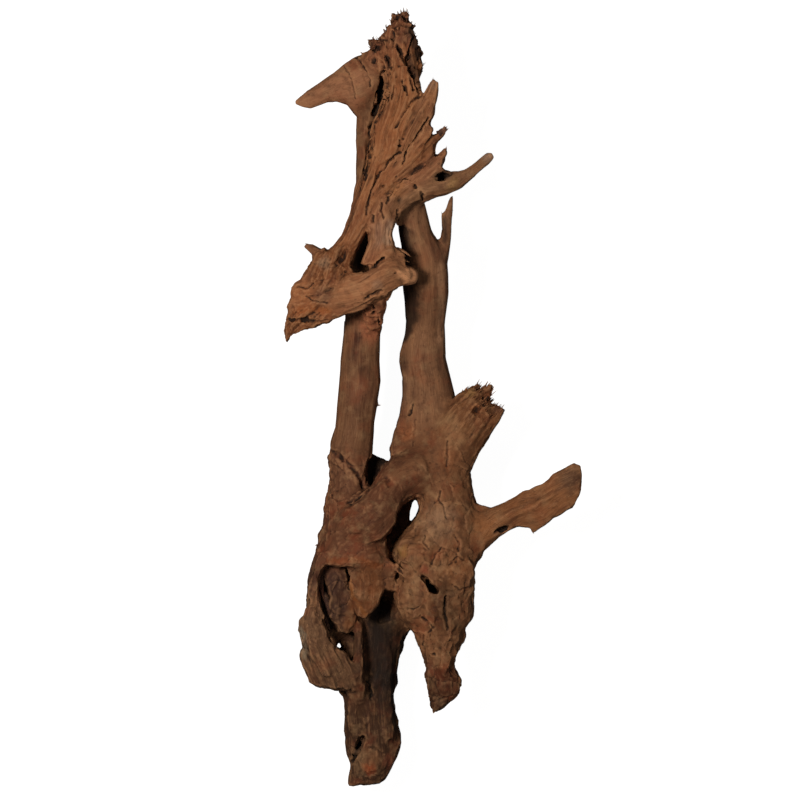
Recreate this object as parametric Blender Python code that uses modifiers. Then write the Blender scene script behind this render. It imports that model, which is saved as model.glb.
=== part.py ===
"""Malaysian driftwood: one weathered piece of root wood, lying on its back on three worn root stubs.

The tables are in millimetres, and the finished mesh is scaled to metres. +Y runs along the wood from its
broken foot to its crown, +X runs to the side of the paddle, and +Z rises from the surface it lies on. The
origin is at the middle of the box's underside.

The wood is made the way it grew: limbs that each have their own run of grain, sunk into each other. They are
fused, their creases are filled, hollows and cracks are cut, the bark is roughened, and the back is worn flat
where it rests.
"""

import math
import random

import bmesh
import bpy
import numpy as np
from mathutils import Matrix, Vector, noise

# Driving dimensions, in millimetres: the wood's whole length and its height off the surface
LENGTH = 1117.6
HEIGHT = 304.8
METRES = 0.001

# Fineness of the limbs' rings, of the fused skin and of the finished mesh
RING_SPACING = 6.0
RING_SIDES = 28
FUSE_VOXEL = 2.6
CARVING_TRIANGLES = 60000
WOOD_TRIANGLES = 11600

# Rounds of filling where limbs meet and where strands lie on them, and the growth that makes up for them
CORE_CREASE_ROUNDS = 8
RELIEF_CREASE_ROUNDS = 1
SKIN_GROWTH = 0.6

# Small broken fibres, drawn at random from one seed
DRAW_SEED = 7
FIBRES_PER_GAP = 2
FIBRE_POINTS = 9
CROWN_BRISTLES = 34
STUB_SPLINTERS = 16

# Brown weathered wood, dull all over
WOOD_COLOUR = (0.195, 0.088, 0.042, 1.0)
WOOD_ROUGHNESS = 0.85

# A limb's rows each cross it from one edge of its outline to the other: x and y of the first edge, x and y of
# the second, the height of its middle, and its thickness from front to back.
LIMBS = {
    "left_trunk": [
        (-106, 486, -60, 478, 166, 44),
        (-111, 440, -58, 440, 164, 44),
        (-110, 400, -60, 400, 160, 46),
        (-110, 360, -62, 360, 157, 48),
        (-113, 300, -68, 300, 154, 48),
        (-119, 255, -72, 255, 152, 50),
        (-123, 190, -76, 190, 150, 52),
        (-127, 124, -77, 124, 148, 54),
        (-129, 88, -76, 88, 146, 54),
        (-133, 56, -77, 55, 144, 55),
        (-135, 20, -76, 20, 142, 56),
        (-138, -10, -81, -8, 140, 56),
        (-141, -42, -85, -40, 137, 58),
        (-147.5, -64, -86, -70, 132, 62),
        (-150.5, -98, -88, -98, 127, 68),
        (-149, -125, -92, -128, 122, 76),
    ],
    "right_trunk": [
        (-60, 352, -12, 350, 200, 40),
        (-56, 322, -16, 322, 196, 50),
        (-53, 294, -17, 294, 190, 50),
        (-51, 268, -9, 268, 184, 50),
        (-49.5, 238, -1, 238, 178, 52),
        (-46.5, 208, 16, 208, 170, 56),
        (-44, 165, 22, 165, 153, 58),
        (-40, 130, 20, 130, 131, 58),
        (-39, 102, 17, 102, 114, 58),
        (-44, 80, 18, 80, 108, 58),
        (-48, 62, 18, 60, 105, 60),
        (-42, 15, 28, 18, 103, 62),
        (-45, -18, 34, -12, 105, 68),
        (-53, -48, 46, -46, 108, 76),
        (-62, -76, 54, -80, 113, 86),
        (-58, -104, 52, -108, 118, 92),
    ],
    "trunk_fork": [
        (2, 190, 20, 186, 156, 40),
        (5, 214, 22, 206, 162, 30),
        (10, 230, 25, 224, 166, 20),
        (13, 244, 26, 242, 168, 16),
        (12, 258, 28, 256, 170, 14),
        (18, 272, 29, 271, 172, 11),
        (22, 284, 30, 284, 173, 9),
        (24, 292, 30, 292, 174, 7),
    ],
    "upper_mass": [
        (-51, 555, -41, 555, 188, 12),
        (-57, 546, -38, 547, 190, 28),
        (-62, 536, -31, 536, 192, 38),
        (-70, 522, -27, 524, 194, 46),
        (-84, 508, -22, 506, 196, 54),
        (-98, 494, -18, 490, 196, 58),
        (-94, 476, -18, 474, 197, 60),
        (-74, 460, -20, 462, 198, 56),
        (-70, 440, -15, 440, 200, 58),
        (-78, 414, -3, 414, 203, 60),
        (-86, 390, -3, 392, 206, 62),
        (-90, 366, 1, 366, 207, 64),
        (-93, 340, 6, 342, 207, 64),
        (-98, 318, 4, 318, 206, 62),
        (-106, 298, -2, 294, 204, 58),
        (-110, 284, -14, 281, 202, 52),
        (-104, 266, -44, 268, 200, 42),
    ],
    "beak": [
        (-84, 500, -76, 440, 178, 46),
        (-100, 496, -96, 420, 176, 46),
        (-114, 491, -112, 408, 174, 42),
        (-128, 481, -121, 420, 174, 37),
        (-142, 469, -138, 427, 176, 32),
        (-156, 459, -152, 426, 178, 27),
        (-170, 450, -168, 419, 181, 22),
        (-182, 442, -181, 416, 184, 18),
        (-191, 434, -192, 421, 187, 12),
        (-199, 427, -198, 422, 188, 6),
    ],
    "prong_a": [
        (-34, 392, -5, 388, 226, 40),
        (-23, 418, 1, 414, 230, 30),
        (-13, 437, 4, 434, 234, 20),
        (-9, 446, 6, 444, 236, 16),
        (-5, 454, 7, 452, 238, 13),
        (-2, 459, 4, 458, 239, 9),
    ],
    "prong_b": [
        (-16, 372, -6, 348, 218, 30),
        (-2, 376, 3, 360, 220, 22),
        (7, 383, 13, 373, 223, 14),
        (14, 389, 20, 381, 226, 12),
        (19, 393, 22, 388, 228, 8),
    ],
    "prong_c": [
        (-10, 352, 2, 326, 214, 34),
        (4, 350, 12, 332, 216, 22),
        (11, 355, 18, 343, 219, 14),
        (17, 364, 21, 356, 222, 8),
    ],
    "horn": [
        (-30, 338, -40, 286, 210, 64),
        (-10, 334, -13, 282, 213, 58),
        (6, 330, 5, 289, 216, 52),
        (20, 327, 21, 293, 222, 44),
        (33, 326, 36, 300, 232, 35),
        (44, 329, 48, 308, 244, 29),
        (55, 335, 61, 319, 259, 25),
        (66, 343, 73, 331, 276, 21),
        (76, 352, 83, 340, 291, 17),
        (83, 354, 87, 346, 298, 11),
    ],
    "strut": [
        (-100, 322, -58, 334, 216, 66),
        (-113, 290, -66, 296, 219, 68),
        (-117, 266, -78, 262, 221, 62),
        (-125, 246, -94, 243, 223, 52),
        (-133, 230, -99, 232, 225, 48),
        (-146, 219, -107, 220, 227, 46),
        (-158, 213, -114, 206, 229, 44),
        (-170, 203, -119, 190, 231, 42),
        (-174, 189, -118, 176, 233, 41),
    ],
    "strut_nub": [
        (-160, 214, -170, 200, 229, 22),
        (-170, 219, -175, 208, 229, 13),
        (-178, 223, -182, 213, 230, 10),
        (-183, 222, -186, 218, 230, 6),
    ],
    "fin": [
        (-176, 196, -104, 178, 233, 42),
        (-186, 176, -106, 152, 235, 40),
        (-197, 166, -118, 128, 234, 38),
        (-205, 148, -144, 113, 232, 35),
        (-210, 128, -168, 103, 229, 31),
        (-213, 108, -190, 95, 225, 25),
        (-213, 94, -202, 86, 222, 18),
        (-213, 80, -206, 80, 220, 9),
    ],
    "arm": [
        (-168, 178, -164, 104, 232, 38),
        (-142, 182, -140, 115, 236, 46),
        (-118, 181, -120, 122, 240, 52),
        (-96, 183, -96, 132, 244, 54),
        (-80, 194, -76, 146, 246, 52),
        (-66, 203, -60, 152, 243, 48),
        (-52, 201, -47, 160, 238, 42),
        (-40, 191, -37, 162, 230, 35),
        (-28, 188, -29, 163, 221, 28),
        (-21, 181, -22, 167, 215, 20),
    ],
    "neck": [
        (-98, 272, -50, 276, 222, 60),
        (-94, 254, -52, 258, 226, 56),
        (-91, 238, -58, 240, 231, 50),
        (-92, 222, -57, 226, 236, 46),
        (-98, 206, -52, 212, 240, 42),
        (-106, 190, -62, 198, 244, 40),
    ],
    "arm_flap": [
        (-112, 150, -61, 150, 232, 50),
        (-106, 132, -67, 134, 208, 48),
        (-100, 115, -71, 115, 190, 40),
        (-94, 100, -76, 99, 172, 30),
    ],
    "elbow": [
        (-20, -70, 4, -134, 130, 88),
        (-50, -78, -22, -143, 137, 90),
        (-70, -98, -38, -150, 146, 92),
        (-87, -122, -47, -166, 153, 92),
        (-105, -138, -51, -184, 156, 92),
        (-124, -150, -60, -198, 156, 92),
        (-142, -162, -78, -212, 152, 90),
        (-154, -182, -98, -224, 146, 88),
    ],
    "base_left": [
        (-146, -116, -92, -124, 120, 76),
        (-149.5, -132, -94, -140, 122, 86),
        (-151.5, -150, -90, -160, 126, 98),
        (-158, -178, -74, -194, 130, 110),
        (-166, -208, -62, -218, 134, 114),
        (-169.5, -226, -60, -236, 134, 112),
        (-172.5, -238, -62, -246, 134, 106),
    ],
    "cavity_wall": [
        (-168, -222, -146, -226, 138, 90),
        (-177, -252, -160, -252, 138, 82),
        (-181.5, -278, -163, -278, 138, 74),
        (-181, -300, -162, -300, 138, 64),
        (-188, -325, -160, -326, 136, 52),
    ],
    "hollow_back": [
        (-104, -72, -76, -86, 96, 22),
        (-110, -90, -60, -92, 92, 34),
        (-114, -110, -48, -108, 90, 42),
        (-116, -140, -22, -138, 86, 50),
        (-130, -178, -20, -180, 84, 58),
        (-158, -212, -30, -216, 90, 72),
        (-172, -248, -30, -252, 90, 74),
        (-174, -280, -30, -284, 86, 70),
        (-168, -310, -27, -310, 82, 66),
        (-156, -334, -28, -330, 80, 60),
        (-148, -352, -46, -346, 80, 58),
        (-142, -374, -56, -370, 80, 56),
        (-130, -396, -62, -390, 78, 50),
    ],
    "tongue": [
        (-130, -222, -64, -224, 162, 44),
        (-122, -248, -70, -250, 164, 30),
        (-120, -275, -71, -272, 162, 24),
        (-116, -297, -78, -296, 158, 20),
        (-109, -311, -88, -309, 154, 15),
        (-101, -320, -95, -319, 151, 8),
    ],
    "ear": [
        (-178, -296, -166, -291, 166, 12),
        (-187, -308, -160, -306, 165, 26),
        (-193, -321, -156, -320, 162, 34),
        (-194, -338, -149, -342, 158, 40),
        (-188, -355, -136, -359, 152, 44),
        (-190, -370, -122, -374, 146, 48),
        (-185, -387, -112, -390, 140, 52),
        (-180, -402, -106, -404, 134, 54),
        (-174, -413, -106, -415, 128, 50),
        (-166, -418, -110, -421, 124, 44),
    ],
    "front_strip": [
        (-112, -322, -99, -320, 112, 38),
        (-113, -345, -100, -345, 118, 44),
        (-114, -370, -100, -370, 122, 50),
        (-116, -396, -99, -396, 122, 54),
        (-124, -418, -97, -418, 112, 52),
        (-118, -440, -95, -440, 100, 40),
    ],
    "lower_stem": [
        (-122, -326, -38, -318, 80, 58),
        (-118, -350, -43, -348, 80, 62),
        (-116, -372, -49, -370, 80, 62),
        (-117, -396, -52, -396, 80, 62),
        (-126, -414, -53, -415, 82, 62),
        (-132, -430, -58, -428, 82, 60),
        (-128, -446, -54, -443, 82, 60),
        (-129, -470, -51, -468, 80, 62),
        (-128, -490, -48, -488, 78, 64),
        (-127, -506, -46, -500, 76, 62),
        (-122, -522, -52, -518, 74, 58),
        (-117, -534, -58, -532, 72, 52),
        (-118, -547, -65, -545, 70, 42),
        (-119, -556, -71, -554, 69, 30),
    ],
    "foot_toe": [
        (-118, -530, -84, -530, 72, 44),
        (-121, -550, -97, -550, 70, 32),
        (-123, -560, -107, -560, 68, 20),
    ],
    "foot_heel": [
        (-100, -525, -60, -525, 72, 46),
        (-102, -547, -66, -546, 70, 36),
        (-102, -559, -76, -557, 68, 22),
    ],
    "torn_stub": [
        (-24, -56, 50, -112, 116, 84),
        (4, -30, 64, -84, 121, 74),
        (26, -5, 79, -59, 124, 64),
        (37, 5, 91, -39, 126, 54),
        (44, 11, 97, -29, 127, 46),
        (51, 14, 95, -19, 128, 40),
    ],
    "mid_body": [
        (-40, -100, 52, -100, 116, 88),
        (-24, -126, 55, -124, 120, 92),
        (-20, -150, 62, -150, 124, 94),
        (-23, -168, 66, -172, 127, 96),
        (-40, -190, 68, -198, 130, 98),
        (-55, -211, 66, -222, 133, 100),
        (-57, -230, 60, -243, 136, 100),
        (-54, -250, 60, -262, 138, 98),
        (-52, -275, 60, -276, 139, 96),
        (-53, -300, 57, -298, 139, 90),
        (-46, -318, 58, -317, 138, 82),
        (-31, -334, 46, -332, 137, 74),
        (-24, -346, 44, -347, 136, 68),
        (-19, -358, 37, -361, 134, 60),
        (-13, -374, 31, -377, 132, 54),
        (-11, -388, 31, -390, 130, 50),
        (-9, -404, 40, -407, 128, 48),
        (-7, -421, 40, -423, 126, 44),
        (-5, -438, 29, -436, 124, 36),
        (-3, -449, 10, -449, 122, 26),
        (-2, -456, 3, -455, 122, 14),
    ],
    "paddle": [
        (46, -146, 40, -244, 128, 62),
        (62, -156, 58, -243, 132, 56),
        (79, -158, 74, -222, 136, 46),
        (93, -153, 90, -205, 140, 39),
        (106, -148, 104, -195, 143, 35),
        (120, -139, 120, -186, 146, 32),
        (135, -131, 134, -187, 149, 30),
        (150, -126, 149, -190, 151, 29),
        (165, -116, 163, -181, 153, 28),
        (180, -104, 179, -171, 155, 26),
        (195, -96, 193, -162, 157, 23),
        (207, -93, 205, -154, 158, 20),
        (213, -98, 210, -142, 159, 16),
        (215, -106, 214.5, -126, 159, 10),
    ],
}

# Raised strands and ribs, half sunk in the limbs: x, y, height and radius along each
STRANDS = {
    "strand_1": [(-58, 476, 222, 11), (-62, 440, 228, 13), (-70, 408, 234, 14), (-79, 378, 236, 14),
                 (-83, 350, 236, 14), (-88, 322, 236, 14), (-98, 292, 236, 13), (-108, 262, 234, 11)],
    "strand_2": [(-44, 476, 224, 10), (-46, 440, 232, 11), (-54, 406, 240, 12), (-64, 378, 243, 13),
                 (-68, 354, 241, 12), (-78, 332, 236, 10)],
    "strand_3": [(-31, 470, 222, 9), (-30, 442, 232, 10), (-40, 414, 242, 10), (-50, 388, 246, 10),
                 (-54, 364, 244, 10), (-60, 346, 238, 9)],
    "strand_4": [(-12, 428, 234, 9), (-22, 406, 242, 10), (-34, 382, 246, 11), (-44, 358, 244, 10),
                 (-52, 338, 238, 9)],
    "strand_5": [(-6, 408, 230, 8), (-10, 390, 236, 9), (-20, 366, 241, 9), (-32, 345, 242, 9),
                 (-46, 330, 240, 10), (-62, 316, 238, 11), (-78, 296, 237, 11), (-90, 272, 236, 10)],
    "strand_6": [(2, 372, 222, 8), (-6, 352, 230, 9), (-14, 334, 234, 10), (-30, 318, 236, 11),
                 (-50, 304, 237, 12), (-66, 284, 238, 12), (-76, 262, 240, 11), (-76, 240, 244, 9)],
    "strand_7": [(30, 312, 232, 8), (8, 302, 232, 10), (-14, 298, 232, 11), (-34, 290, 232, 11),
                 (-50, 276, 232, 10), (-62, 256, 236, 9)],
    "hook": [(-36, 284, 214, 9), (-42, 272, 210, 8), (-46, 260, 206, 6), (-50, 249, 202, 4)],
    "fin_rib": [(-118, 172, 256, 9), (-146, 156, 248, 9), (-172, 138, 244, 8), (-196, 118, 236, 6)],
    "arm_rib": [(-128, 148, 252, 10), (-104, 160, 259, 11), (-80, 174, 262, 12), (-54, 180, 252, 10),
                (-36, 177, 238, 8)],
    "root_ridge": [(-72, -233, 172, 5), (-56, -243, 174, 5), (-42, -252, 178, 5), (-30, -258, 180, 4)],
    "stem_rib_left": [(-112, -430, 102, 9), (-114, -460, 102, 10), (-112, -488, 98, 9)],
    "stem_rib_right": [(-68, -350, 104, 8), (-66, -392, 104, 9), (-70, -440, 102, 10), (-66, -490, 98, 11)],
    "leg_rib": [(22, -300, 178, 9), (20, -345, 165, 9), (16, -390, 152, 8), (10, -430, 140, 6)],
    "trunk_edge": [(-32, 96, 128, 3), (-37, 54, 118, 6.5), (-36.5, 14, 119, 7), (-41.5, -26, 125, 7),
                   (-52, -64, 134, 7.5), (-56, -98, 138, 4)],
    "body_rib_1": [(6, -96, 142, 5), (10, -130, 155, 9), (14, -176, 164, 11), (22, -232, 170, 11),
                   (32, -286, 169, 10), (30, -330, 158, 6)],
    "body_rib_2": [(-8, -176, 160, 5), (-14, -212, 169, 9), (-30, -256, 171, 9), (-38, -298, 166, 9),
                   (-22, -334, 155, 5)],
    "ledge_post": [(-66, -234, 170, 8), (-63, -256, 164, 9), (-60, -276, 156, 8)],
    "elbow_rib_1": [(-28, -100, 164, 6), (-58, -122, 178, 14), (-84, -150, 186, 17), (-108, -172, 188, 17),
                    (-132, -200, 180, 10)],
    "elbow_rib_2": [(-48, -140, 170, 6), (-66, -168, 178, 12), (-86, -194, 180, 14), (-110, -212, 174, 10)],
    "ledge": [(-160, -236, 172, 6), (-134, -232, 182, 9), (-104, -230, 184, 9), (-76, -232, 180, 7)],
    "ear_rib_1": [(-176, -304, 170, 5), (-176, -330, 178, 7), (-170, -362, 176, 8), (-152, -398, 164, 6)],
    "ear_rib_2": [(-164, -312, 172, 4), (-158, -344, 172, 6), (-140, -376, 166, 7), (-122, -404, 152, 5)],
    "paddle_rib": [(84, -182, 156, 5), (116, -164, 161, 8), (154, -152, 164, 7), (190, -128, 166, 5)],
}

# Root ridges along the back, in the same form
BACK_RIDGES = {
    "back_left_1": [(-98, 300, 140, 12), (-104, 150, 130, 15), (-108, 20, 122, 15), (-120, -90, 100, 20),
                    (-132, -180, 74, 26), (-122, -262, 66, 24), (-98, -335, 62, 20), (-90, -430, 60, 16)],
    "back_left_2": [(-60, -96, 84, 14), (-78, -150, 66, 20), (-92, -220, 58, 22), (-120, -292, 60, 22),
                    (-150, -340, 96, 20), (-165, -385, 124, 14)],
    "back_right_1": [(-24, 262, 162, 12), (-14, 160, 122, 16), (-12, 60, 80, 16), (0, -30, 76, 20),
                     (20, -120, 82, 24), (32, -220, 86, 28), (18, -320, 104, 20), (14, -410, 112, 14)],
    "back_right_2": [(-34, -60, 84, 18), (-16, -140, 86, 16), (-18, -220, 88, 26), (-44, -300, 74, 22),
                     (-72, -390, 60, 18), (-74, -480, 52, 16), (-86, -535, 58, 12)],
    "back_stub": [(70, -36, 108, 16), (40, -70, 92, 20), (14, -104, 88, 20)],
    "back_paddle": [(172, -130, 146, 9), (120, -160, 134, 11), (70, -190, 116, 18)],
    "back_fin": [(-196, 120, 216, 9), (-160, 150, 214, 12), (-120, 160, 218, 14)],
    "back_mass": [(-30, 430, 178, 14), (-38, 370, 178, 18), (-60, 310, 176, 18), (-84, 280, 180, 14)],
}

# The strands that finer fibres run between, from left to right
MASS_STRANDS = ["strand_1", "strand_2", "strand_3", "strand_4", "strand_5", "strand_6", "strand_7"]

# Spikes, nubs and splinters, from a sunk root to a blunt tip
SPIKES = {
    "crown_spike_1": [(-88, 486, 188, 7), (-104, 498, 190, 2.2)],
    "crown_nub": [(-74, 506, 190, 9), (-86, 513, 188, 6), (-94, 514.5, 186, 4)],
    "crown_spike_2": [(-60, 520, 192, 8), (-69, 533, 190, 3.2)],
    "crown_spike_3": [(-54, 538, 192, 6), (-57, 554, 192, 2.2)],
    "crown_spike_4": [(-47, 540, 190, 8), (-43, 558.5, 190, 2.8)],
    "crown_spike_5": [(-40, 544, 188, 6), (-35, 557, 186, 2.5)],
    "crown_spike_6": [(-36, 526, 190, 7), (-28, 538, 188, 2.5)],
    "crown_bump_right": [(-30, 494, 194, 11), (-20, 497, 190, 6), (-17, 494, 188, 4)],
    "crown_front_1": [(-62, 500, 214, 10), (-60, 516, 220, 4)],
    "crown_front_2": [(-40, 512, 212, 10), (-38, 530, 214, 4)],
    "crown_front_3": [(-84, 492, 210, 9), (-90, 503, 214, 4)],
    "splinter_1": [(-64, 216, 240, 7), (-52, 211, 240, 4.5), (-37, 202, 236, 2)],
    "splinter_2": [(-60, 202, 246, 7), (-48, 199, 243, 4), (-38, 194, 238, 2)],
    "fork_spur": [(20, 250, 169, 5), (13, 266, 170, 2)],
    "trunk_spur": [(-90, -4, 140, 7), (-78, -9.5, 140, 2.2)],
    "body_nub": [(56, -160, 134, 8), (68, -156.5, 136, 4), (78, -157.5, 136, 2.5)],
    "paddle_spur": [(144, -180, 150, 6), (145, -193, 150, 2)],
    "ear_bump": [(-180, -336, 156, 12), (-194, -337, 156, 4)],
    "ear_corner": [(-160, -398, 132, 16), (-177, -407, 130, 6)],
    "base_spike": [(-142, -134, 124, 9), (-153, -134, 122, 3)],
    "stem_point": [(-122, -420, 88, 12), (-137, -422.5, 88, 2.5)],
    "stub_tooth_1": [(40, -4, 128, 11), (46, 11, 130, 4)],
    "stub_tooth_2": [(50, -6, 134, 11), (56, 17.5, 138, 4)],
    "stub_tooth_3": [(58, -10, 124, 10), (65.5, 21, 122, 3.2)],
    "stub_tooth_4": [(66, -6, 132, 8), (73, 18, 134, 2.4)],
    "stub_tooth_5": [(72, -14, 128, 10), (79, 6, 130, 6.5), (82, 19, 132, 5)],
    "stub_tooth_6": [(76, -18, 118, 9), (86, -7, 114, 3)],
    "stub_knob": [(84, -28, 130, 12), (95, -19, 132, 8.5), (99.5, -15, 132, 6.5)],
    "back_knot_trunk": [(-104, 66, 132, 16), (-104, 56, 108, 11), (-103, 48, 92, 7)],
    "back_knot_body": [(8, -66, 96, 26), (6, -74, 62, 16), (3, -80, 44, 9)],
    "back_knot_stem": [(-84, -450, 66, 20), (-80, -462, 44, 12), (-77, -470, 30, 7)],
    "back_knot_crown": [(-52, 446, 186, 20), (-48, 456, 162, 12), (-44, 462, 146, 7)],
}

# Rounded lumps inside the cavity and on the bark: centre and the three half widths
LUMPS = {
    "lump_1": (-139, -264, 137, 18, 25, 24),
    "lump_2": (-140, -300, 134, 13, 24, 20),
    "lump_3": (-127, -320, 130, 15, 19, 20),
    "lump_5": (-120, -288, 136, 14, 26, 16),
    "lump_4": (-136, -330, 106, 16, 14, 16),
    "elbow_knuckle": (-98, -176, 178, 34, 26, 30),
    "bark_boss_1": (-20, -222, 168, 32, 26, 20),
    "bark_boss_2": (-30, -290, 166, 22, 34, 18),
    "bark_boss_3": (34, -250, 168, 22, 32, 16),
}

# The three stubs that the wood lies on. Each runs below the surface, and is worn flat there.
REST_STUBS = {
    "rest_stub_top": [(-42, 326, 176, 30), (-50, 312, 130, 24), (-57, 303, 84, 18), (-58, 300, 40, 16),
                      (-56, 300, -5, 15)],
    "rest_stub_left": [(-108, -268, 92, 34), (-115, -284, 54, 25), (-119, -290, 24, 19),
                       (-120, -291, -5, 17)],
    "rest_stub_top_side": [(-70, 318, 150, 18), (-72, 306, 90, 13), (-70, 296, 40, 10), (-67, 291, -5, 9)],
    "rest_stub_left_side": [(-96, -250, 70, 20), (-104, -270, 30, 13), (-107, -279, -5, 10)],
    "rest_stub_right_side": [(50, -214, 90, 20), (48, -224, 40, 13), (46, -228, -5, 10)],
    "rest_stub_right": [(18, -212, 100, 38), (27, -227, 58, 28), (32, -232, 26, 21), (33, -233, -5, 18)],
}

# Holes and deep hollows: the outline as seen from above, and the heights between which it is cut
HOLES = {
    "eye": ([(4, 318), (6, 325), (12, 328), (18, 325), (28, 325), (23, 319), (18, 312), (12, 310), (6, 312)],
            260, 208, 0.7),
    "body_hole": ([(-21, -255), (-12, -253), (0, -263), (8, -273), (12, -283), (2, -285), (-8, -280),
                   (-11, -270), (-14, -262)], 210, 118, 0.75),
    "body_slit": ([(17, -286), (21, -286), (20.5, -308), (22.5, -330), (18.5, -332), (16.5, -310)],
                  210, 152, 0.8),
    "side_slot": ([(-56, -250), (-50, -250), (-50, -262), (-55, -267), (-58, -262)], 210, 150, 0.8),
    "elbow_hole": ([(-29, -144), (-23, -145), (-19, -153), (-19, -162), (-23, -170), (-28, -177),
                    (-35, -184), (-37, -177), (-35, -165), (-32, -153)], 220, 20, 1.0),
    "elbow_hollow": ([(-30, -146), (-45, -150), (-53, -166), (-55, -180), (-64, -194), (-84, -209),
                      (-70, -206), (-56, -201), (-43, -192), (-36, -182), (-34, -165)], 200, 112, 0.8),
    "trunk_gap": ([(-96, -84), (-97, -104), (-92, -131), (-86, -126), (-78, -108), (-68, -90)],
                  220, 106, 0.9),
    "ear_hole": ([(-141, -354), (-132, -349), (-122, -345), (-115, -350), (-115, -362), (-121, -367),
                  (-129, -366)], 200, 108, 0.8),
    "ear_gap": ([(-145, -358), (-132, -346), (-126, -368)], 200, 20, 1.0),
    "tongue_recess": ([(-76, -281), (-64, -279), (-57, -298), (-60, -326), (-84, -334), (-80, -308)],
                      200, 100, 0.8),
    "strut_slot": ([(-94, 242), (-90, 236), (-90, 222), (-96, 214), (-97, 205), (-104, 194), (-113, 183),
                    (-121, 180), (-117, 196), (-113, 211), (-106, 222), (-99, 233)], 300, 190, 0.95),
    "arm_gap": ([(-51, 246), (-48, 238), (-46, 226), (-44, 213), (-51, 215), (-55, 226), (-56, 236)],
                300, 160, 1.0),
    "prong_notch_1": ([(11, 386), (1, 377), (-1, 381), (-3, 390), (-5, 398), (-1, 405), (1, 414), (9, 412)],
                      262, 180, 1.0),
    "prong_notch_2": ([(12, 373), (5, 366), (3, 360), (2, 351), (5, 350), (10, 353), (14, 358), (21, 367)],
                      262, 180, 1.0),
    "prong_notch_3": ([(19, 350), (14, 343), (11, 336), (11, 332), (14, 329.5), (21, 328.5), (28, 334)],
                      262, 180, 1.0),
    "splinter_gap": ([(-57, 206), (-50, 204), (-43, 198), (-44, 200), (-50, 206)], 300, 160, 1.0),
    "crown_split": ([(-36, 488), (-31, 486), (-26, 468), (-19, 442), (-16, 436), (-22, 446), (-29, 464)],
                    260, 196, 0.8),
    "crown_gash": ([(-54, 509), (-49, 506), (-45, 494), (-38, 482), (-44, 488), (-51, 498)], 260, 204, 0.8),
    "beak_crevice": ([(-79, 474), (-72, 468), (-68, 458), (-71, 446), (-72, 432), (-74, 418), (-84, 406),
                      (-87, 394), (-90, 394), (-89, 408), (-82, 422), (-81, 440), (-77, 458)],
                     260, 174, 0.9),
    "foot_groove": ([(-103, -486), (-98, -488), (-101, -500), (-110, -512), (-114, -527), (-119, -524),
                     (-116, -508), (-109, -494)], 130, 76, 0.8),
    "paddle_pit": ([(93, -184), (104, -182), (110, -187), (104, -192), (97, -197), (94, -192)],
                   180, 142, 0.7),
    "trunk_pocket": ([(-32, -10), (-29, -12), (-30, -22), (-34, -26), (-35, -18)], 180, 112, 0.8),
}

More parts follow.
